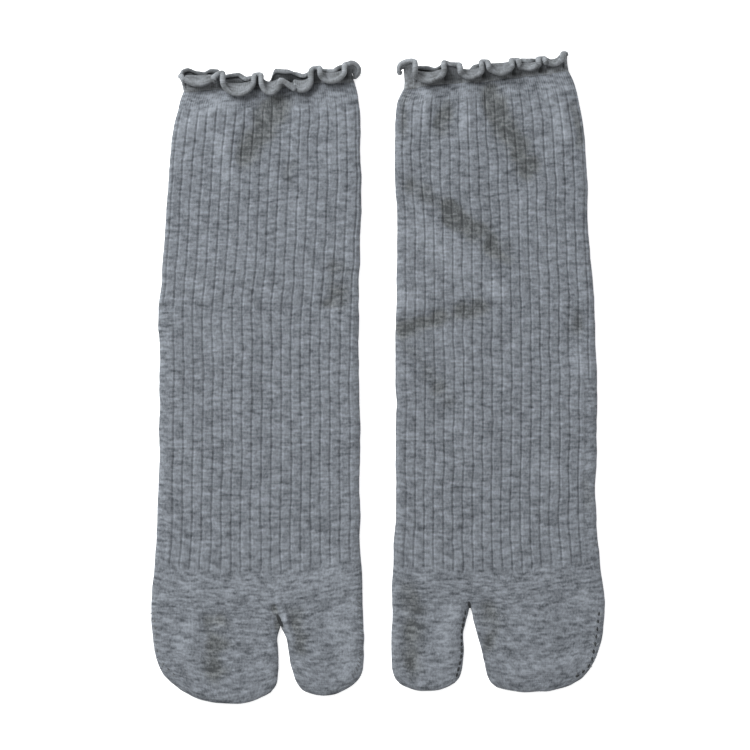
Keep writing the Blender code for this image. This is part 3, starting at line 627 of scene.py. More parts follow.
def rib_strength(points, distance, wale, rib_stop, knit):
    """From 0 where the cloth is plain to 1 where it is ribbed."""
    wale, distance = np.broadcast_arrays(wale, distance)
    uneven = knit["uneven"] * soft_noise(np.stack([wale * 1.1, distance * 0], axis=-1), 3.0, 5.2)
    strength = ease((distance - knit["welt"] + uneven) / RIB_FADE) * ease((rib_stop - distance) / RIB_FADE)
    for low_wale, high_wale, low_y, high_y in knit["stops"]:
        beside = (wale > low_wale) & (wale < high_wale)
        inside = ease((points[..., 1] - low_y) / STOP_FADE) * ease((high_y - points[..., 1]) / STOP_FADE)
        strength = strength * (1 - beside * inside)
    return strength


print("a rib, mm:", rib_height(np.arange(0, 4.1, 0.5)).round(2))

# %% [markdown]
# ## Building the sock
#
# The rows go down the leg and foot to the place where the toe divides. From there the columns on either
# side of the cleft carry on as two pockets, each closed at its tip. The under layer has fewer columns
# but shares every row with the upper one, so the two meet exactly at the side folds.

# %% Find the rows, columns and heights of a sock
ROW_STEP = 1.7  # mm between rows
FADE_STEP, CLEFT_STEP = 0.6, 0.45  # the same where the ribs sink, and just above the cleft
POCKET_STEP = ROW_STEP * 0.8
SEAM_START = 0.15  # mm from the cuff seam to the first row
INNER_HALF_GAP = 0.3  # half of the gap between the two layers
INNER_ROUND = 1.4  # FOLD_ROUND for the inside
LOWEST_LIFT = -0.2  # a deeper hollow would press the inside through the under layer
INSIDE_PAINTED_SHADE_FOLD = -2.0  # the fold value of the inside, so low that the material paints it in deep shade
CLEFT_CROWDING = 0.6  # how much closer together columns are beside the cleft
TIP_STEPS = np.array([3.2, 2.6, 2.0, 1.5, 1.05, 0.7, 0.42, 0.2, 0.07, 0.0])  # mm from a pocket's tip
POCKET_STARTS = np.array([0.04, 0.1, 0.17, 0.26, 0.37, 0.5])


def tube_rows(flat):
    """Places down the tube, with their distances from the cuff, and the distance at which the ribs end."""
    places = np.linspace(0, flat.divide, 3001)
    level = sum(through(side, places)[:, 1] for side in flat.sides) / 2
    distances = level[0] - level
    end, rib_stop = distances[-1], np.interp(RIB_END, places, distances)
    rows = np.concatenate([
        np.arange(SEAM_START, rib_stop - 3, ROW_STEP),
        np.arange(rib_stop - 3, rib_stop + FADE_STEP, FADE_STEP),
        np.arange(rib_stop + 1.5, end - 3.5, ROW_STEP),
        np.arange(end - 3.2, end - 0.2, CLEFT_STEP),
        [end],
    ])
    return np.interp(rows, distances, places), rows, rib_stop


def pocket_rows(flat, number):
    """Places down a pocket, with their distances from where the toe divides."""
    rows = flat.pockets[number]
    places = np.linspace(0, len(rows), 1601)
    middle = flat.pocket(number, places, 0.5)
    distances = np.append(0, np.cumsum(np.linalg.norm(np.diff(middle, axis=0), axis=1)))
    end = distances[-1]
    starts = np.interp(POCKET_STARTS, places, distances)
    evenly = np.arange(starts[-1] + POCKET_STEP, end - 3.6, POCKET_STEP)
    steps = np.concatenate([starts, evenly, end - TIP_STEPS])
    return np.interp(steps, distances, places), steps


def pocket_across(flat, number, columns):
    """The parts across a pocket of columns that are given as parts across the whole sock."""
    return columns / flat.cleft_part if number == 0 else (1 - columns) / (1 - flat.cleft_part)


def pocket_parts(flat, number, columns, place):
    """The same, drawn closer together beside the cleft, where the pocket curves down."""
    from_cleft = 1 - pocket_across(flat, number, columns)
    closer = 1 - CLEFT_CROWDING * (1 - from_cleft) ** 9 * ease(place[:, None] / 0.5)
    return 1 - from_cleft * closer


def level_of(flat, points, reach, start=0.0, rounding=FOLD_ROUND, end_fold=None):
    """The height of a face, halfway up on the folds and reach above that between them.

    In a grid, both ends of each row are on a fold, and in the last row the points at end_fold are.
    """
    height = rounded((flat.from_fold(points) - start) / rounding)
    if end_fold is not None:
        height[:, [0, -1]] = 0
        height[-1, end_fold] = 0
    return HALF_HEIGHT + reach * height


print("rows down each tube:", [len(tube_rows(flat)[0]) for flat in (left_flat, right_flat)])

# %% [markdown]
# ## Writing a material as sums
#
# A Blender material is a network of small nodes. A long network of sums is hard to read as wires, so
# this class stands for one wire: adding or multiplying two of them adds the node that does so. Every
# other kind of node goes through `node`, which takes its settings, then its inputs.

# %% A wire that can be added and multiplied
class Signal:
    def __init__(self, socket):
        self.socket = socket

    def node(self, kind, settings={}, inputs={}, output=0):
        tree = self.socket.id_data
        node = tree.nodes.new(kind)
        for key, value in settings.items():
            setattr(node, key, value)
        for key, value in inputs.items():
            if isinstance(value, Signal):
                tree.links.new(value.socket, node.inputs[key])
            else:
                node.inputs[key].default_value = value
        return Signal(node.outputs[output])

    def math(self, operation, *values):
        return self.node("ShaderNodeMath", {"operation": operation}, dict(enumerate(values)))

    def __add__(self, other):
        return self.math("ADD", self, other)

    def __sub__(self, other):
        return self.math("SUBTRACT", self, other)

    def __rsub__(self, other):
        return self.math("SUBTRACT", other, self)

    def __mul__(self, other):
        return self.math("MULTIPLY", self, other)

    __radd__, __rmul__ = __add__, __mul__

    def above(self, low, high):
        """From 0 where this is below low, softly up to 1 where it is above high."""
        values = {"Value": self, "From Min": low, "From Max": high}
        return self.node("ShaderNodeMapRange", {"interpolation_type": "SMOOTHSTEP"}, values)

    def random(self, y, z, detail=0.0):
        """A smooth random value, about 0, of this and two more."""
        place = self.node("ShaderNodeCombineXYZ", {}, {0: self, 1: y, 2: z})
        return self.node("ShaderNodeTexNoise", {}, {"Vector": place, "Scale": 1.0, "Detail": detail}) - 0.5


print("signals are ready")

# %% [markdown]
# ## Heather knit
#
# Heather yarn is spun from pale and dark fibres together, so its shade drifts along the yarn. The yarn
# runs along each course, which turns the drift into short streaks across the sock, one course high.
# The same wale and course numbers draw the stitches: each one is a small V, and a column of them makes
# a wale. Shade is painted into the colour where little light reaches, so the bottoms of the grooves and
# the hollows of the folds are darker, and the ridges of the folds are painted lighter. The hollows also
# get a painted warm tint, as the light in them has come off other cloth.

# %% Make the knit materials
STITCH_HEIGHT = 0.30  # mm
HOLLOW_PAINTED_TINT = (0.99, 0.965, 0.88, 1)
FRILL_PAINTED_SHADE = (0.058, 0.061, 0.059, 1)
# how strongly each of these changes the shade, which is 0 for the dark fibres and 1 for the pale ones;
# the fold one paints light on ridges and shade in hollows, the groove one paints shade in grooves
STREAKS, LONG_STREAKS, FLECKS = 0.5, 1.15, 0.95
FOLD_PAINTED_LIGHT_AND_SHADE, WELT, GROOVE_PAINTED_SHADE, STITCH = 0.27, 0.13, 0.27, 0.16


def knit_material(name, pale, dark, seed, ribbed):
    """Ribbed cloth has grooves where its rib value is 1; on other cloth deep shade is painted there."""
    material = bpy.data.materials.new(name)
    material.use_nodes = True
    tree = material.node_tree
    shader = tree.nodes["Principled BSDF"]
    start = Signal(shader.inputs["Roughness"])

    def fact(label):
        return start.node("ShaderNodeAttribute", {"attribute_name": label}, output=2)

    def mix(settings, inputs):
        return start.node("ShaderNodeMix", {"data_type": "RGBA", **settings}, inputs, output=2)

    wale, course, rib = fact("wale"), fact("course"), fact("rib")
    row = wale.math("FLOOR", course)

    # the smaller the number beside wale or course, the longer a streak is that way
    streaks = (wale * 0.42).random(row * 7.7, seed)
    long_streaks = (wale * 0.24).random(course * 0.55, seed + 5.0, 1.0)
    flecks = (wale * 1.45).random(course * 0.75, seed + 9.0, 2.0)
    heather = STREAKS * streaks + LONG_STREAKS * long_streaks + FLECKS * flecks
    if ribbed:
        heather = heather * (1.2 - 0.2 * rib)
    # painted light on the ridges of the folds and painted shade in their hollows
    shade = 0.5 + heather + FOLD_PAINTED_LIGHT_AND_SHADE * fact("fold")

    # the band under the cuff, where single wales show
    welt = (1 - course.above(8.0, 10.5)) * wale.math("COSINE", wale * (2 * math.pi))
    shade = shade + WELT * welt

    # on the frill and the toe seams the rib value is painted shade, which also flattens the stitches there
    groove = rib
    if ribbed:
        away = wale.math("PINGPONG", wale, RIB_WALES / 2)
        uneven = (wale * 0.25).random(course * 0.12, seed + 21.0, 1.0) * 0.9
        groove = (1 - away.above(0.05, 0.52)) * rib * (0.55 + uneven)
        # painted shade at the bottom of each groove
        shade = shade - groove * GROOVE_PAINTED_SHADE

    # stitches: the two legs of a V lean towards the middle of the wale
    across = wale.math("PINGPONG", wale + 0.5, 0.5)
    side = across.math("ABSOLUTE", across - 0.5)
    legs = 1 - side.math("ABSOLUTE", side * 4.0 - 1.0)
    loops = course.math("COSINE", (course + side * 1.5) * (2 * math.pi)) * 0.5 + 0.5
    height = legs * (0.45 + 0.55 * loops) * (1 - groove * 0.8) + flecks * 0.5
    shade = shade + (legs * loops - 0.3) * STITCH

    colour = mix({}, {0: shade, 6: (*dark, 1), 7: (*pale, 1)})
    # painted shade: a darker warm tint in the hollows of the folds and on the insides, and near black where
    # the frill and the toe seams carry painted shade
    deep = fact("fold").above(-0.15, -1.1) * 0.85 if ribbed else rib * 0.9
    in_shade = HOLLOW_PAINTED_TINT if ribbed else FRILL_PAINTED_SHADE
    colour = mix({"blend_type": "MULTIPLY"}, {0: deep, 6: colour, 7: in_shade})
    relief = {"Strength": 0.75, "Distance": STITCH_HEIGHT * MM, "Height": height}
    bump = start.node("ShaderNodeBump", {}, relief)
    roughness = 0.93 - shade * 0.06
    tree.links.new(colour.socket, shader.inputs["Base Color"])
    tree.links.new(roughness.socket, shader.inputs["Roughness"])
    tree.links.new(bump.socket, shader.inputs["Normal"])
    shader.inputs["Specular IOR Level"].default_value = 0.2
    print(name, "has", len(tree.nodes), "nodes")
    return material


body_knit = knit_material("heather rib knit", (0.274, 0.296, 0.327), (0.072, 0.079, 0.089), 1.7, True)
frill_knit = knit_material("heather frill knit", (0.298, 0.316, 0.337), (0.095, 0.100, 0.102), 31.0, False)

# %% [markdown]
# ## Both socks
#
# The socks of a pair are two separate pieces of knitting, and they never lie just alike, so each is
# built from its own tables rather than as a mirror copy. Only the upper layer needs a column beside every
# groove. The under layer has fewer, and the insides fewer still: they lie one wall further in and meet
# in folds of their own. Each new piece then moves with the root body, the solids it stands for are
# hidden, and it shows its kind of knit.

# %% Build both socks
def build_sock(name, flat, origin, knit, folds, material):
    shell = Shell()
    places, distances, rib_stop = tube_rows(flat)
    columns, cleft = layer_columns(flat, places, knit)
    first_groove, pitch = groove_spacing(np.minimum(places, RIB_END)[:, None], knit)
    last = columns.shape[1] - 1
    few = np.r_[0 : MARGIN + 1 : 2, MARGIN + 1 : last - MARGIN : 5, last - MARGIN : last + 1 : 2]
    few = np.unique(np.r_[few, cleft, last])
    outer = {}
    for upper in (True, False):
        chosen = np.arange(last + 1) if upper else few
        split = int(np.searchsorted(chosen, cleft))

        def outside(points, wale, distance, end_fold):
            lift = lift_at(points, origin, folds) if upper else 0.0
            strength = rib_strength(points, distance, wale, rib_stop, knit)
            reach = HALF_HEIGHT + rib_height(wale) * strength + lift if upper else -HALF_HEIGHT
            level = level_of(flat, points, reach, end_fold=end_fold)
            return shell.add(np.dstack([points, level]), wale, distance / COURSE, strength, lift)

        wale = (columns[:, chosen] - first_groove) / pitch * RIB_WALES
        points = flat.crossing(places[:, None], columns[:, chosen])
        tube = outside(points, wale, distances[:, None], split)
        shell.fill(tube)
        tips = []
        for number, span in enumerate((slice(0, split + 1), slice(split, None))):
            down, steps = pocket_rows(flat, number)
            parts = pocket_parts(flat, number, columns[-1:, chosen[span]], down)
            points = flat.pocket(number, down[:, None], parts)
            pocket = outside(points, wale[-1, span], distances[-1] + steps[:, None], slice(None))
            shell.fill(np.vstack([tube[-1:, span], pocket]))
            tips.append((pocket[-1], parts[-1]))
        outer[upper] = (tube[0], columns[0, chosen], tips)
    for (top, top_parts), (under, under_parts) in zip(outer[True][2], outer[False][2]):
        turn = 1 if top_parts[-1] > top_parts[0] else -1
        shell.zip_rows(top, top_parts * turn, under, under_parts * turn)

    inner_places = np.interp(np.linspace(SEAM_START, distances[-1], 50), distances, places)
    inner_parts = np.unique(np.r_[np.linspace(0, 1, 25), 0.012, 0.988, flat.cleft_part])
    split = int(np.searchsorted(inner_parts, flat.cleft_part))
    rims = []
    for upper in (True, False):

        def inside(points, end_fold):
            gap = INNER_HALF_GAP + np.maximum(lift_at(points, origin, folds), LOWEST_LIFT)
            level = level_of(flat, points, gap if upper else -INNER_HALF_GAP, WALL, INNER_ROUND, end_fold)
            return shell.add(np.dstack([points, level]), 0.0, -points[..., 1] / COURSE, 0.0, INSIDE_PAINTED_SHADE_FOLD)

        points = flat.crossing(inner_places[:, None], inner_parts, WALL)
        points[-1, :, 1] += WALL
        tube = inside(points, split)
        shell.fill(tube)
        rims.append(tube[0])
        for number, span in enumerate((slice(0, split + 1), slice(split, None))):
            parts = pocket_across(flat, number, inner_parts[span])
            down = np.linspace(0.25, len(flat.pockets[number]), 9)
            points = flat.pocket(number, down[:, None], parts, WALL)
            shell.fill(np.vstack([tube[-1:, span], inside(points, slice(None))]))

    def around(upper_row, under_row):
        """One row round the mouth: the upper one, and the under one back again."""
        return np.concatenate([upper_row, under_row[::-1][1:]])

    top, top_parts, _ = outer[True]
    under, under_parts, _ = outer[False]
    outer_parts = around(top_parts, 2 - under_parts)
    inner_parts = around(inner_parts, 2 - inner_parts)
    shell.zip_rows(around(top, under), outer_parts, around(*rims), inner_parts)
    return shell.make(f"{name}_sock", origin, material)


left_body = build_sock("left", left_flat, left_origin, LEFT_KNIT, LEFT_FOLDS, body_knit)
right_body = build_sock("right", right_flat, right_origin, RIGHT_KNIT, RIGHT_FOLDS, body_knit)
for body, name in ((left_body, "left"), (right_body, "right")):
    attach(body, "root")
    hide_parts(f"{name}_ribbed_tube", f"{name}_tabi_toe")

# %% [markdown]
# ## The frill
#
# The frill is knitted with far more stitches than the cuff holds, so its edge is too long to lie flat
# and waves. Round the front it folds forward in deep cups with steep sides. Each one stands up a little
# from the seam, which is the part below the bend, and then turns over, so that its lip hangs in front of
# the cuff. Between two cups, and along the rear, the frill only leans. At the corner nearest the other
# sock its edge hooks over sideways.
#
# A cloth simulation makes such waves by itself, but not at chosen places, so they are listed one by one.
# One table gives the lean between the cups all the way round, and the other gives the cups. Place runs
# round the mouth, 0 to 1 along the front and 1 to 2 back along the rear.

# %% Tables of the frill
# place, lean up from the table in degrees, drift to the right in degrees, width
LEFT_LEANS = np.array([
    (0, 24, -10, 8.8), (0.012, 30, -8, 9.2), (0.178, 56, 2, 10), (0.214, 30, 6, 9.8),
    (0.44, 30, 0, 8.2), (0.576, 83, 0, 9.2), (0.6, 92, 0, 8.6), (0.625, 118, 6, 8.4),
    (0.652, 138, 8, 8.2), (0.785, 30, 2, 9.6), (0.948, 26, 3, 10), (0.966, 24, 4, 10),
    (0.985, 24, 2, 10.4), (1, 20, -13, 11.8), (1.015, 20, -9, 10.2), (1.07, 14, 0, 8.8),
    (1.117, 30, 0, 7.6), (1.211, 0, 0, 8), (1.288, 30, 0, 6.2), (1.335, 24, 0, 7.2),
    (1.382, 40, 0, 9.6), (1.452, 34, 0, 10), (1.494, 20, 0, 3.6), (1.564, 6, 0, 6.8),
    (1.629, 36, 0, 7), (1.682, 22, 0, 8.6), (1.776, 0, 0, 7.4), (1.84, 10, 17, 10.6),
    (1.87, 10, 14, 10.8), (1.905, 10, 12, 9.4), (1.93, 6, 4, 9.8), (1.96, 14, -4, 11.5),
    (1.985, 20, -7, 11),
])
RIGHT_LEANS = np.array([
    (0, 20, 4, 18), (0.012, 26, 5, 16), (0.03, 32, 6, 14.8), (0.056, 36, 6, 14.6),
    (0.252, 22, 0, 12.4), (0.3, 26, 0, 11.2), (0.34, 26, 2, 10.6), (0.485, 24, 0, 10.9),
    (0.52, 26, 0, 10.7), (0.668, 24, 0, 10.1), (0.706, 24, 0, 10), (0.834, 24, 0, 9.5),
    (0.868, 24, 0, 9.3), (0.985, 6, 0, 9.8), (1, 0, 0, 9.8), (1.013, 0, 0, 9.4),
    (1.074, 24, 0, 6.6), (1.123, 0, 0, 8.8), (1.171, 10, 0, 8.6), (1.232, 30, 0, 9.4),
    (1.293, 0, 0, 9.2), (1.397, 24, 0, 8.2), (1.434, 20, 0, 6.8), (1.5, 4, 0, 9.2),
    (1.562, 26, 0, 9.4), (1.61, 14, 0, 6.2), (1.684, 6, 0, 8.8), (1.738, 20, 0, 11.4),
    (1.8, 16, 0, 9.4), (1.854, 16, 0, 10.2), (1.94, 10, 0, 10.6), (1.97, 20, 4, 12.4),
    (1.988, 24, 4, 15.4),
])
# place of its middle, half its breadth, lean in degrees, drift at its sides in degrees, width, and the
# part of the width that is below the bend
LEFT_CUPS = np.array([
    (0.092, 0.084, 155, 6, 13.8, 0.4),
    (0.322, 0.095, 160, 8, 10.2, 0.15),
    (0.5165, 0.0515, 158, 8, 11, 0.14),
    (0.7, 0.052, 155, 6, 9.6, 0.09),
    (0.878, 0.067, 158, 6, 11.8, 0.3),
])
RIGHT_CUPS = np.array([
    (0.154, 0.094, 162, 6, 14, 0.38),
    (0.412, 0.066, 162, 6, 13.1, 0.38),
    (0.592, 0.067, 162, 6, 15, 0.38),
    (0.768, 0.058, 155, 6, 11, 0.48),
    (0.923, 0.054, 155, 4, 11.4, 0.5),
])
# where the edge hooks over sideways: place, half its breadth, turn to the right in degrees, and the
# parts of the column where the turn begins and ends
LEFT_HOOK = (1.0, 0.018, 175, 0.50, 0.72)
RIGHT_HOOK = (0.0, 0.040, -170, 0.60, 0.88)
print(len(LEFT_CUPS), "and", len(RIGHT_CUPS), "cups")

# %% [markdown]
# Soft steps lead from each row of the lean table to the next. A cup takes over within its own breadth,
# with an outline between an ellipse and a box, so its sides are steep and its middle is level.

# %% Find the wave of the frill
CUP_SQUARENESS = 2.8  # 2 would give each cup the outline of an ellipse
SIDE_RISE = 0.26  # how much higher a cup bends at its sides, which rounds it to a U
SIDE_POWER = 2.4  # keeps the bend level across the middle of a cup
SOFTENING = 0.009  # how far round the mouth each turn is spread
TRIAL_COUNT = 3000


def sharp_wave(place, leans, cups):
    """The lean and drift in degrees, the width, and the part below the bend, at places round the mouth."""
    following = np.vstack([leans[1:], leans[0] + (2, 0, 0, 0)])
    start = np.clip(np.searchsorted(leans[:, 0], place, side="right") - 1, 0, len(leans) - 1)
    here, there = leans[start], following[start]
    part = ease((place - here[:, 0]) / (there[:, 0] - here[:, 0]))[:, None]
    wave = here[:, 1:] + (there[:, 1:] - here[:, 1:]) * part
    wave = np.column_stack([wave, 0 * place])
    for middle, half_breadth, lean, spread, reach, rise in cups:
        off = np.clip((place - middle) / half_breadth, -1, 1)
        depth = ((1 - abs(off) ** CUP_SQUARENESS) ** (1 / CUP_SQUARENESS))[:, None]
        cup = np.broadcast_arrays(lean, spread * off, reach, rise + SIDE_RISE * abs(off) ** SIDE_POWER)
        wave += (np.stack(cup, axis=-1) - wave) * depth
    return wave


def wave_at(place, leans, cups):
    """The same with its corners softened, in radians, as thick cloth can't turn sharply."""
    trial = np.linspace(0, 2, TRIAL_COUNT, endpoint=False)
    near = np.hanning(2 * round(SOFTENING * TRIAL_COUNT / 2) + 1)
    ring = np.vstack([sharp_wave(trial, leans, cups)] * 3)
    once_round = slice(TRIAL_COUNT, 2 * TRIAL_COUNT + 1)
    soft = [np.convolve(column, near / near.sum(), "same")[once_round] for column in ring.T]
    lean, drifting, reach, rise = (np.interp(place, np.append(trial, 2), column) for column in soft)
    return np.radians(lean), np.radians(drifting), reach, rise


print("lean halfway round the front:", wave_at(0.5, LEFT_LEANS, LEFT_CUPS)[0].round(2))

# %% [markdown]
# Each column of the frill starts on the rim of the mouth and is walked away from the cuff in small steps,
# which turn up from the table as they go, and in a cup right over. The wall follows that line on both
# sides and ends in a round bead, because the cast-off edge of knit curls into a tight roll. The sides of
# a cup change fastest, so the columns are spread evenly along the edge and not along the mouth.
#
# Little light reaches the bottom of the frill inside the mouth, the underside of a lip, or the narrow
# neck between two cups, least of all on the side of a cup that is turned away from the lamp, so shade is
# painted there. As the frill has no ribs, its `rib` value records that painted shade.

# %% Build a frill
FRILL_WALL = 1.1
FRILL_START = -0.7  # it begins inside the wall of the cuff, so that no gap shows
BEND_PART = 0.38  # the part of the width over which a column bends
BEAD = 1.3  # radius of the rolled edge
LOWEST = 0.02  # a lip may rest on the table but not go through it
# painted shade: how dark a neck is, the side of a cup away from the lamp, the seam, the rear edge and a lip
NECK_SHADE, LEE_SHADE, SEAM_SHADE, REAR_SHADE, LIP_SHADE = 0.62, 0.6, 0.12, 0.7, 0.6
LEE_AWAY, LEE_BREADTH = 0.008, 0.026  # how far right of a cup it is darkest, and how far that spreads
FRILL_COLUMNS = 420
FRILL_ROWS = 20
SUBSTEPS = 6
BEAD_ANGLES = np.radians(np.linspace(125, -125, 9))
CEILING = np.array([0.0, 0.0, 1.0])


def frill_middle(flat, place, hook, lean, drifting, reach, rise):
    """The middle of the frill's wall: columns round the mouth, and rows from seam to edge."""
    front = place <= 1
    across = np.where(front, place, 2 - place)
    base = flat.crossing(0.0, across, FRILL_WALL / 2)
    left, right = (side[0] for side in flat.sides)
    width = np.linalg.norm(right - left)
    cuff = np.append((right - left) / width, 0.0)
    upwards = np.array([-cuff[1], cuff[0], 0.0])
    from_fold = np.minimum(across, 1 - across) * width
    layer = np.where(front, 1, -1)
    level = HALF_HEIGHT + (HALF_HEIGHT - FRILL_WALL / 2) * layer * rounded(from_fold / FOLD_ROUND)
    point = np.column_stack([base, level]) + upwards * FRILL_START
    hook_place, half_breadth, turn, curl_from, curl_to = hook
    away = abs((place - hook_place + 1) % 2 - 1)  # places 0 and 2 are the same column
    curl = np.radians(turn) * ease(1 - away / half_breadth)
    rows = [point]
    for step in range(FRILL_ROWS * SUBSTEPS):
        climb = (step + 0.5) / (FRILL_ROWS * SUBSTEPS)
        turned = lean * np.clip((climb - rise) / BEND_PART, 0, 1)
        sideways = drifting + curl * ease((climb - curl_from) / (curl_to - curl_from))
        ahead = upwards * np.cos(turned)[:, None] + CEILING * np.sin(turned)[:, None]
        ahead = ahead * np.cos(sideways)[:, None] + cuff * np.sin(sideways)[:, None]
        point = point + ahead * ((reach - BEAD) / (FRILL_ROWS * SUBSTEPS))[:, None]
        if (step + 1) % SUBSTEPS == 0:
            rows.append(point)
    return np.stack(rows, axis=1)


def frill_painted_shade(place, climbed, lean, rise, cups):
    """How deep the painted shade is at each point of a section: the inner face, the rolled edge, the outer
    face.
    """
    front = place < 1
    inner = np.where(front, ease(1.3 - climbed / (rise + 0.42)), (1 - climbed) ** 0.4)
    neck = ease((lean - 0.25) / 0.2) * ease((0.9 - lean) / 0.4) * ease((place - 0.06) / 0.02)
    lees = [ease(1 - abs(place - cup[0] - cup[1] - LEE_AWAY) / LEE_BREADTH) for cup in cups]
    neck_shade = (NECK_SHADE + LEE_SHADE * np.max(lees, axis=0)) * neck
    outer = neck_shade * (1 - climbed**3) + SEAM_SHADE * ease(1 - climbed / 0.6)
    outer = np.where(front, np.minimum(outer, 1) * ease(climbed / 0.3), 0)
    rear = REAR_SHADE * ease((BEAD_ANGLES - 0.1) / 0.9) * ease((0.5 - lean) / 0.15) * ~front
    lip = LIP_SHADE * ease((-BEAD_ANGLES - 0.9) / 1.2) * ease((lean - 1) / 0.8)
    return np.hstack([inner, lip + rear, outer[:, ::-1]])


def build_frill(name, flat, origin, leans, cups, hook, material):
    trial = np.linspace(0, 2, TRIAL_COUNT, endpoint=False)
    ends = frill_middle(flat, trial, hook, *wave_at(trial, leans, cups))[:, [0, -1]]
    moved = np.linalg.norm(np.roll(ends, -1, axis=0) - ends, axis=-1)
    run = np.append(0, np.cumsum(moved.sum(axis=1)))
    place = np.interp(np.arange(FRILL_COLUMNS) / FRILL_COLUMNS * run[-1], run, np.append(trial, 2))
    lean, drifting, reach, rise = wave_at(place, leans, cups)
    middle = frill_middle(flat, place, hook, lean, drifting, reach, rise)
    around = np.roll(middle, -1, axis=0) - np.roll(middle, 1, axis=0)
    along = np.gradient(middle, axis=1)
    inwards = unit(np.cross(along, around))
    edge, tangent, away = middle[:, -1:], unit(along[:, -1:]), inwards[:, -1:]
    angles = BEAD_ANGLES[None, :, None]
    bead = edge + BEAD * (np.cos(angles) * tangent + np.sin(angles) * away)
    inner_face = middle + inwards * (FRILL_WALL / 2)
    outer_face = middle - inwards * (FRILL_WALL / 2)
    section = np.hstack([inner_face, bead, outer_face[:, ::-1]])
    section[..., 2] = np.maximum(section[..., 2], LOWEST)

    place, lean, reach, rise = (values[:, None] for values in (place, lean, reach, rise))
    climb = np.linspace(0, 1, FRILL_ROWS + 1) * reach
    roll = reach + BEAD * (1 + np.cos(BEAD_ANGLES))
    far = np.hstack([climb, roll, climb[:, ::-1]])
    wale = run[-1] / 2 / FRILL_COLUMNS * np.arange(FRILL_COLUMNS)[:, None]
    shade = frill_painted_shade(place, climb / reach, lean, rise, cups)

    shell = Shell()
    # the rib value of the frill holds its painted shade
    numbers = shell.add(section, wale, far / COURSE, shade, 0.0)
    closed = np.vstack([numbers, numbers[:1]])
    shell.fill(np.hstack([closed, closed[:, :1]]))
    mouth_run, edge_run = (round(float(run)) for run in moved.sum(axis=0))
    print(name, "frill: edge", edge_run, "mm, mouth", mouth_run, "mm")
    return shell.make(f"{name}_frill_knit", origin, material)


left_frill = build_frill("left", left_flat, left_origin, LEFT_LEANS, LEFT_CUPS, LEFT_HOOK, frill_knit)
right_frill = build_frill("right", right_flat, right_origin, RIGHT_LEANS, RIGHT_CUPS, RIGHT_HOOK, frill_knit)
for frill, name in ((left_frill, "left"), (right_frill, "right")):
    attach(frill, "root")
    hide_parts(f"{name}_frill")

# %% [markdown]
# ## Closing the toes
#
# A round-knitted toe is closed by linking: one thread is looped through both edges, and each loop pulls
# a small hole open beside it. Each loop is a pale flat bead that follows the surface, set along a line of
# points, and each hole is a dark flat bead of painted shade. The thread also strains the cloth at the
# cleft, where it leaves a deep dent, shown by a dark bead of painted shade.

# %% Tables of stitches
# x and y along each line, down the toe to its tip; the darn runs across it, and a dent is one point
LEFT_OUTER_EDGE = [
    (-49.2, -106.7), (-48.3, -114.5), (-47.9, -121.2),
    (-46.9, -127.9), (-44.6, -131.4), (-38.3, -137.9),
]
LEFT_BIG_TOE_EDGE = [(45.4, -101.0), (46.3, -113.0), (46.4, -125.0), (45.2, -132.5), (42.3, -138.0)]
RIGHT_OUTER_EDGE = [
    (47.5, -107.1), (46.6, -114.4), (45.8, -121), (44.7, -126.7),
    (43.3, -131.6), (39.5, -135.9), (35.9, -137.8),
]
RIGHT_BIG_TOE_EDGE = [
    (-14, -107), (-15.3, -114.5), (-15.8, -120),
    (-16.1, -127), (-16.9, -132.3), (-18.6, -138.2),
]
RIGHT_DARN = [(-6.2, -108.6), (4.2, -109.6)]
LEFT_CLEFT_DENT, RIGHT_CLEFT_DENT = [(9.3, -111.7)], [(-12.3, -104.9)]

# line, spacing, how far the beads stray to the right of the line, turn from the line in degrees,
# half length, half width, and darkness, which is painted shade on the bead and 0 for a pale loop
LEFT_STITCHES = [
    (LEFT_OUTER_EDGE, 3.3, 0.0, 0, 0.75, 0.36, 0.5),
    (LEFT_OUTER_EDGE, 3.3, 1.0, 55, 0.80, 0.24, 0.0),
    (LEFT_BIG_TOE_EDGE, 1.7, 0.0, 60, 0.95, 0.24, 0.45),
    (LEFT_CLEFT_DENT, 1.0, 0.0, 24, 3.3, 0.82, 1.0),
]
RIGHT_STITCHES = [
    (RIGHT_OUTER_EDGE, 3.4, 0.0, 8, 1.05, 0.55, 0.95),
    (RIGHT_OUTER_EDGE, 3.4, 1.1, 50, 0.85, 0.26, 0.0),
    (RIGHT_OUTER_EDGE, 3.4, -1.1, -40, 0.80, 0.24, 0.0),
    (RIGHT_BIG_TOE_EDGE, 3.0, 0.0, 0, 1.10, 0.55, 0.95),
    (RIGHT_DARN, 1.9, 0.0, 70, 1.60, 0.22, 0.5),
    (RIGHT_CLEFT_DENT, 1.0, 0.0, 6, 1.75, 0.72, 1.0),
]
print(len(LEFT_STITCHES) + len(RIGHT_STITCHES), "lines of stitches")

# %% [markdown]
# No two loops pull alike, so each bead turns and swells a little by chance. It is set at the height that
# the cloth has there, so it follows the folds.

# %% Sew the toes
THREAD_RISE = 0.18  # mm, how far a bead stands above the cloth
UNEVEN_TURN = 9  # degrees by which one bead may differ from the next
UNEVEN_SIZE = 0.3
BEAD_TURNS = np.linspace(0, 2 * math.pi, 9)
BEAD_TILTS = np.linspace(0, math.pi, 6)


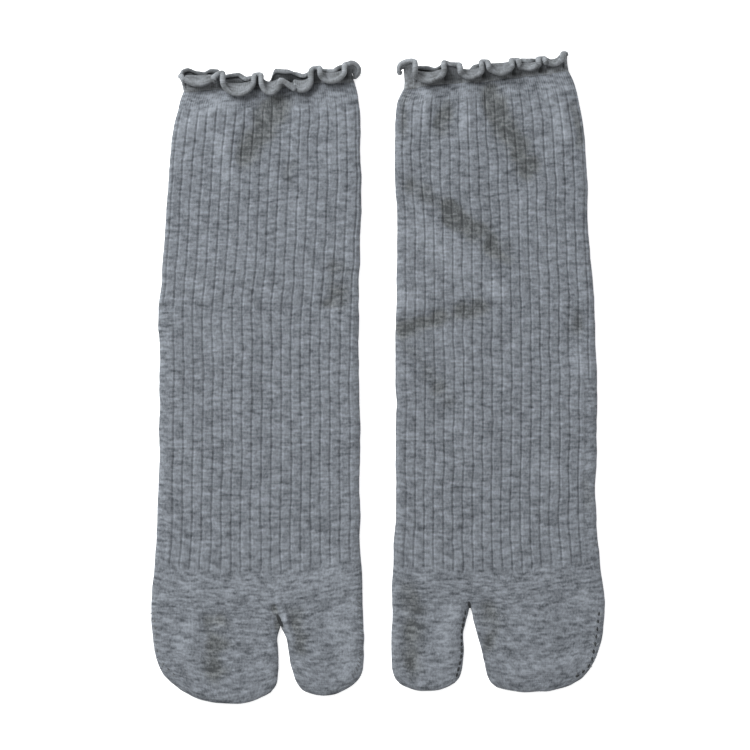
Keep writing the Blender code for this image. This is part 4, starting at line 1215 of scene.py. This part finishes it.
def along_line(line, spacing, stray):
    """Evenly spaced points beside a smooth line, and the direction of the line at each."""
    if len(line) == 1:
        return np.array(line, float), np.array([[0.0, -1.0]])
    fine = through(line, np.linspace(0, len(line) - 1, 400))
    run = np.append(0, np.cumsum(np.linalg.norm(np.diff(fine, axis=0), axis=1)))
    count = round(run[-1] / spacing)
    at = (np.arange(count) + 0.5) * run[-1] / count

    def on_line(distance):
        return np.stack([np.interp(distance, run, axis) for axis in fine.T], axis=-1)

    ahead = unit(on_line(at + 0.4) - on_line(at - 0.4))
    return on_line(at) + stray * np.stack([ahead[:, 1], -ahead[:, 0]], axis=-1), ahead


def sew(name, flat, origin, folds, stitches, material):
    """Sets a flat bead for each loop and hole along the lines of stitches; the dark beads are painted shade.
    """
    shell = Shell()
    turn, tilt = np.meshgrid(BEAD_TURNS, BEAD_TILTS)
    lengthways, sideways, upright = np.cos(tilt), np.sin(tilt) * np.cos(turn), np.sin(tilt) * np.sin(turn)
    for line, spacing, stray, angle, half_length, half_width, dark in stitches:
        points, ahead = along_line(line, spacing, stray)
        for number, (point, (x, y)) in enumerate(zip(points, ahead)):
            turned = math.radians(angle + UNEVEN_TURN * noise.noise((number * 1.7, *point)))
            cos, sin = math.cos(turned), math.sin(turned)
            length = np.array([x * cos - y * sin, x * sin + y * cos])
            width = np.array([-length[1], length[0]])
            size = 1 + UNEVEN_SIZE * noise.noise((*point, number * 2.3))
            oval = half_length * lengthways[..., None] * length + half_width * sideways[..., None] * width
            around = point + size * oval
            level = level_of(flat, around, HALF_HEIGHT + lift_at(around, origin, folds))
            level += THREAD_RISE * upright
            # the darkness goes in as the rib value, which the material paints as shade
            shell.fill(shell.add(np.dstack([around, level]), number * 3.7, 0.0, dark, 0.0))
    return shell.make(f"{name}_toe_seam", origin, material)


left_seam = sew("left", left_flat, left_origin, LEFT_FOLDS, LEFT_STITCHES, frill_knit)
right_seam = sew("right", right_flat, right_origin, RIGHT_FOLDS, RIGHT_STITCHES, frill_knit)
for seam in (left_seam, right_seam):
    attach(seam, "root")

# %% [markdown]
# ## The size of each piece
#
# A sock is a sheet of cloth with a cut: its tube slit open and laid out. The size of each piece's box
# is printed, in millimetres.

for piece in (left_body, right_body, left_frill, right_frill):
    print(piece.name, "is", [round(float(side) / MM, 1) for side in piece.dimensions], "mm")
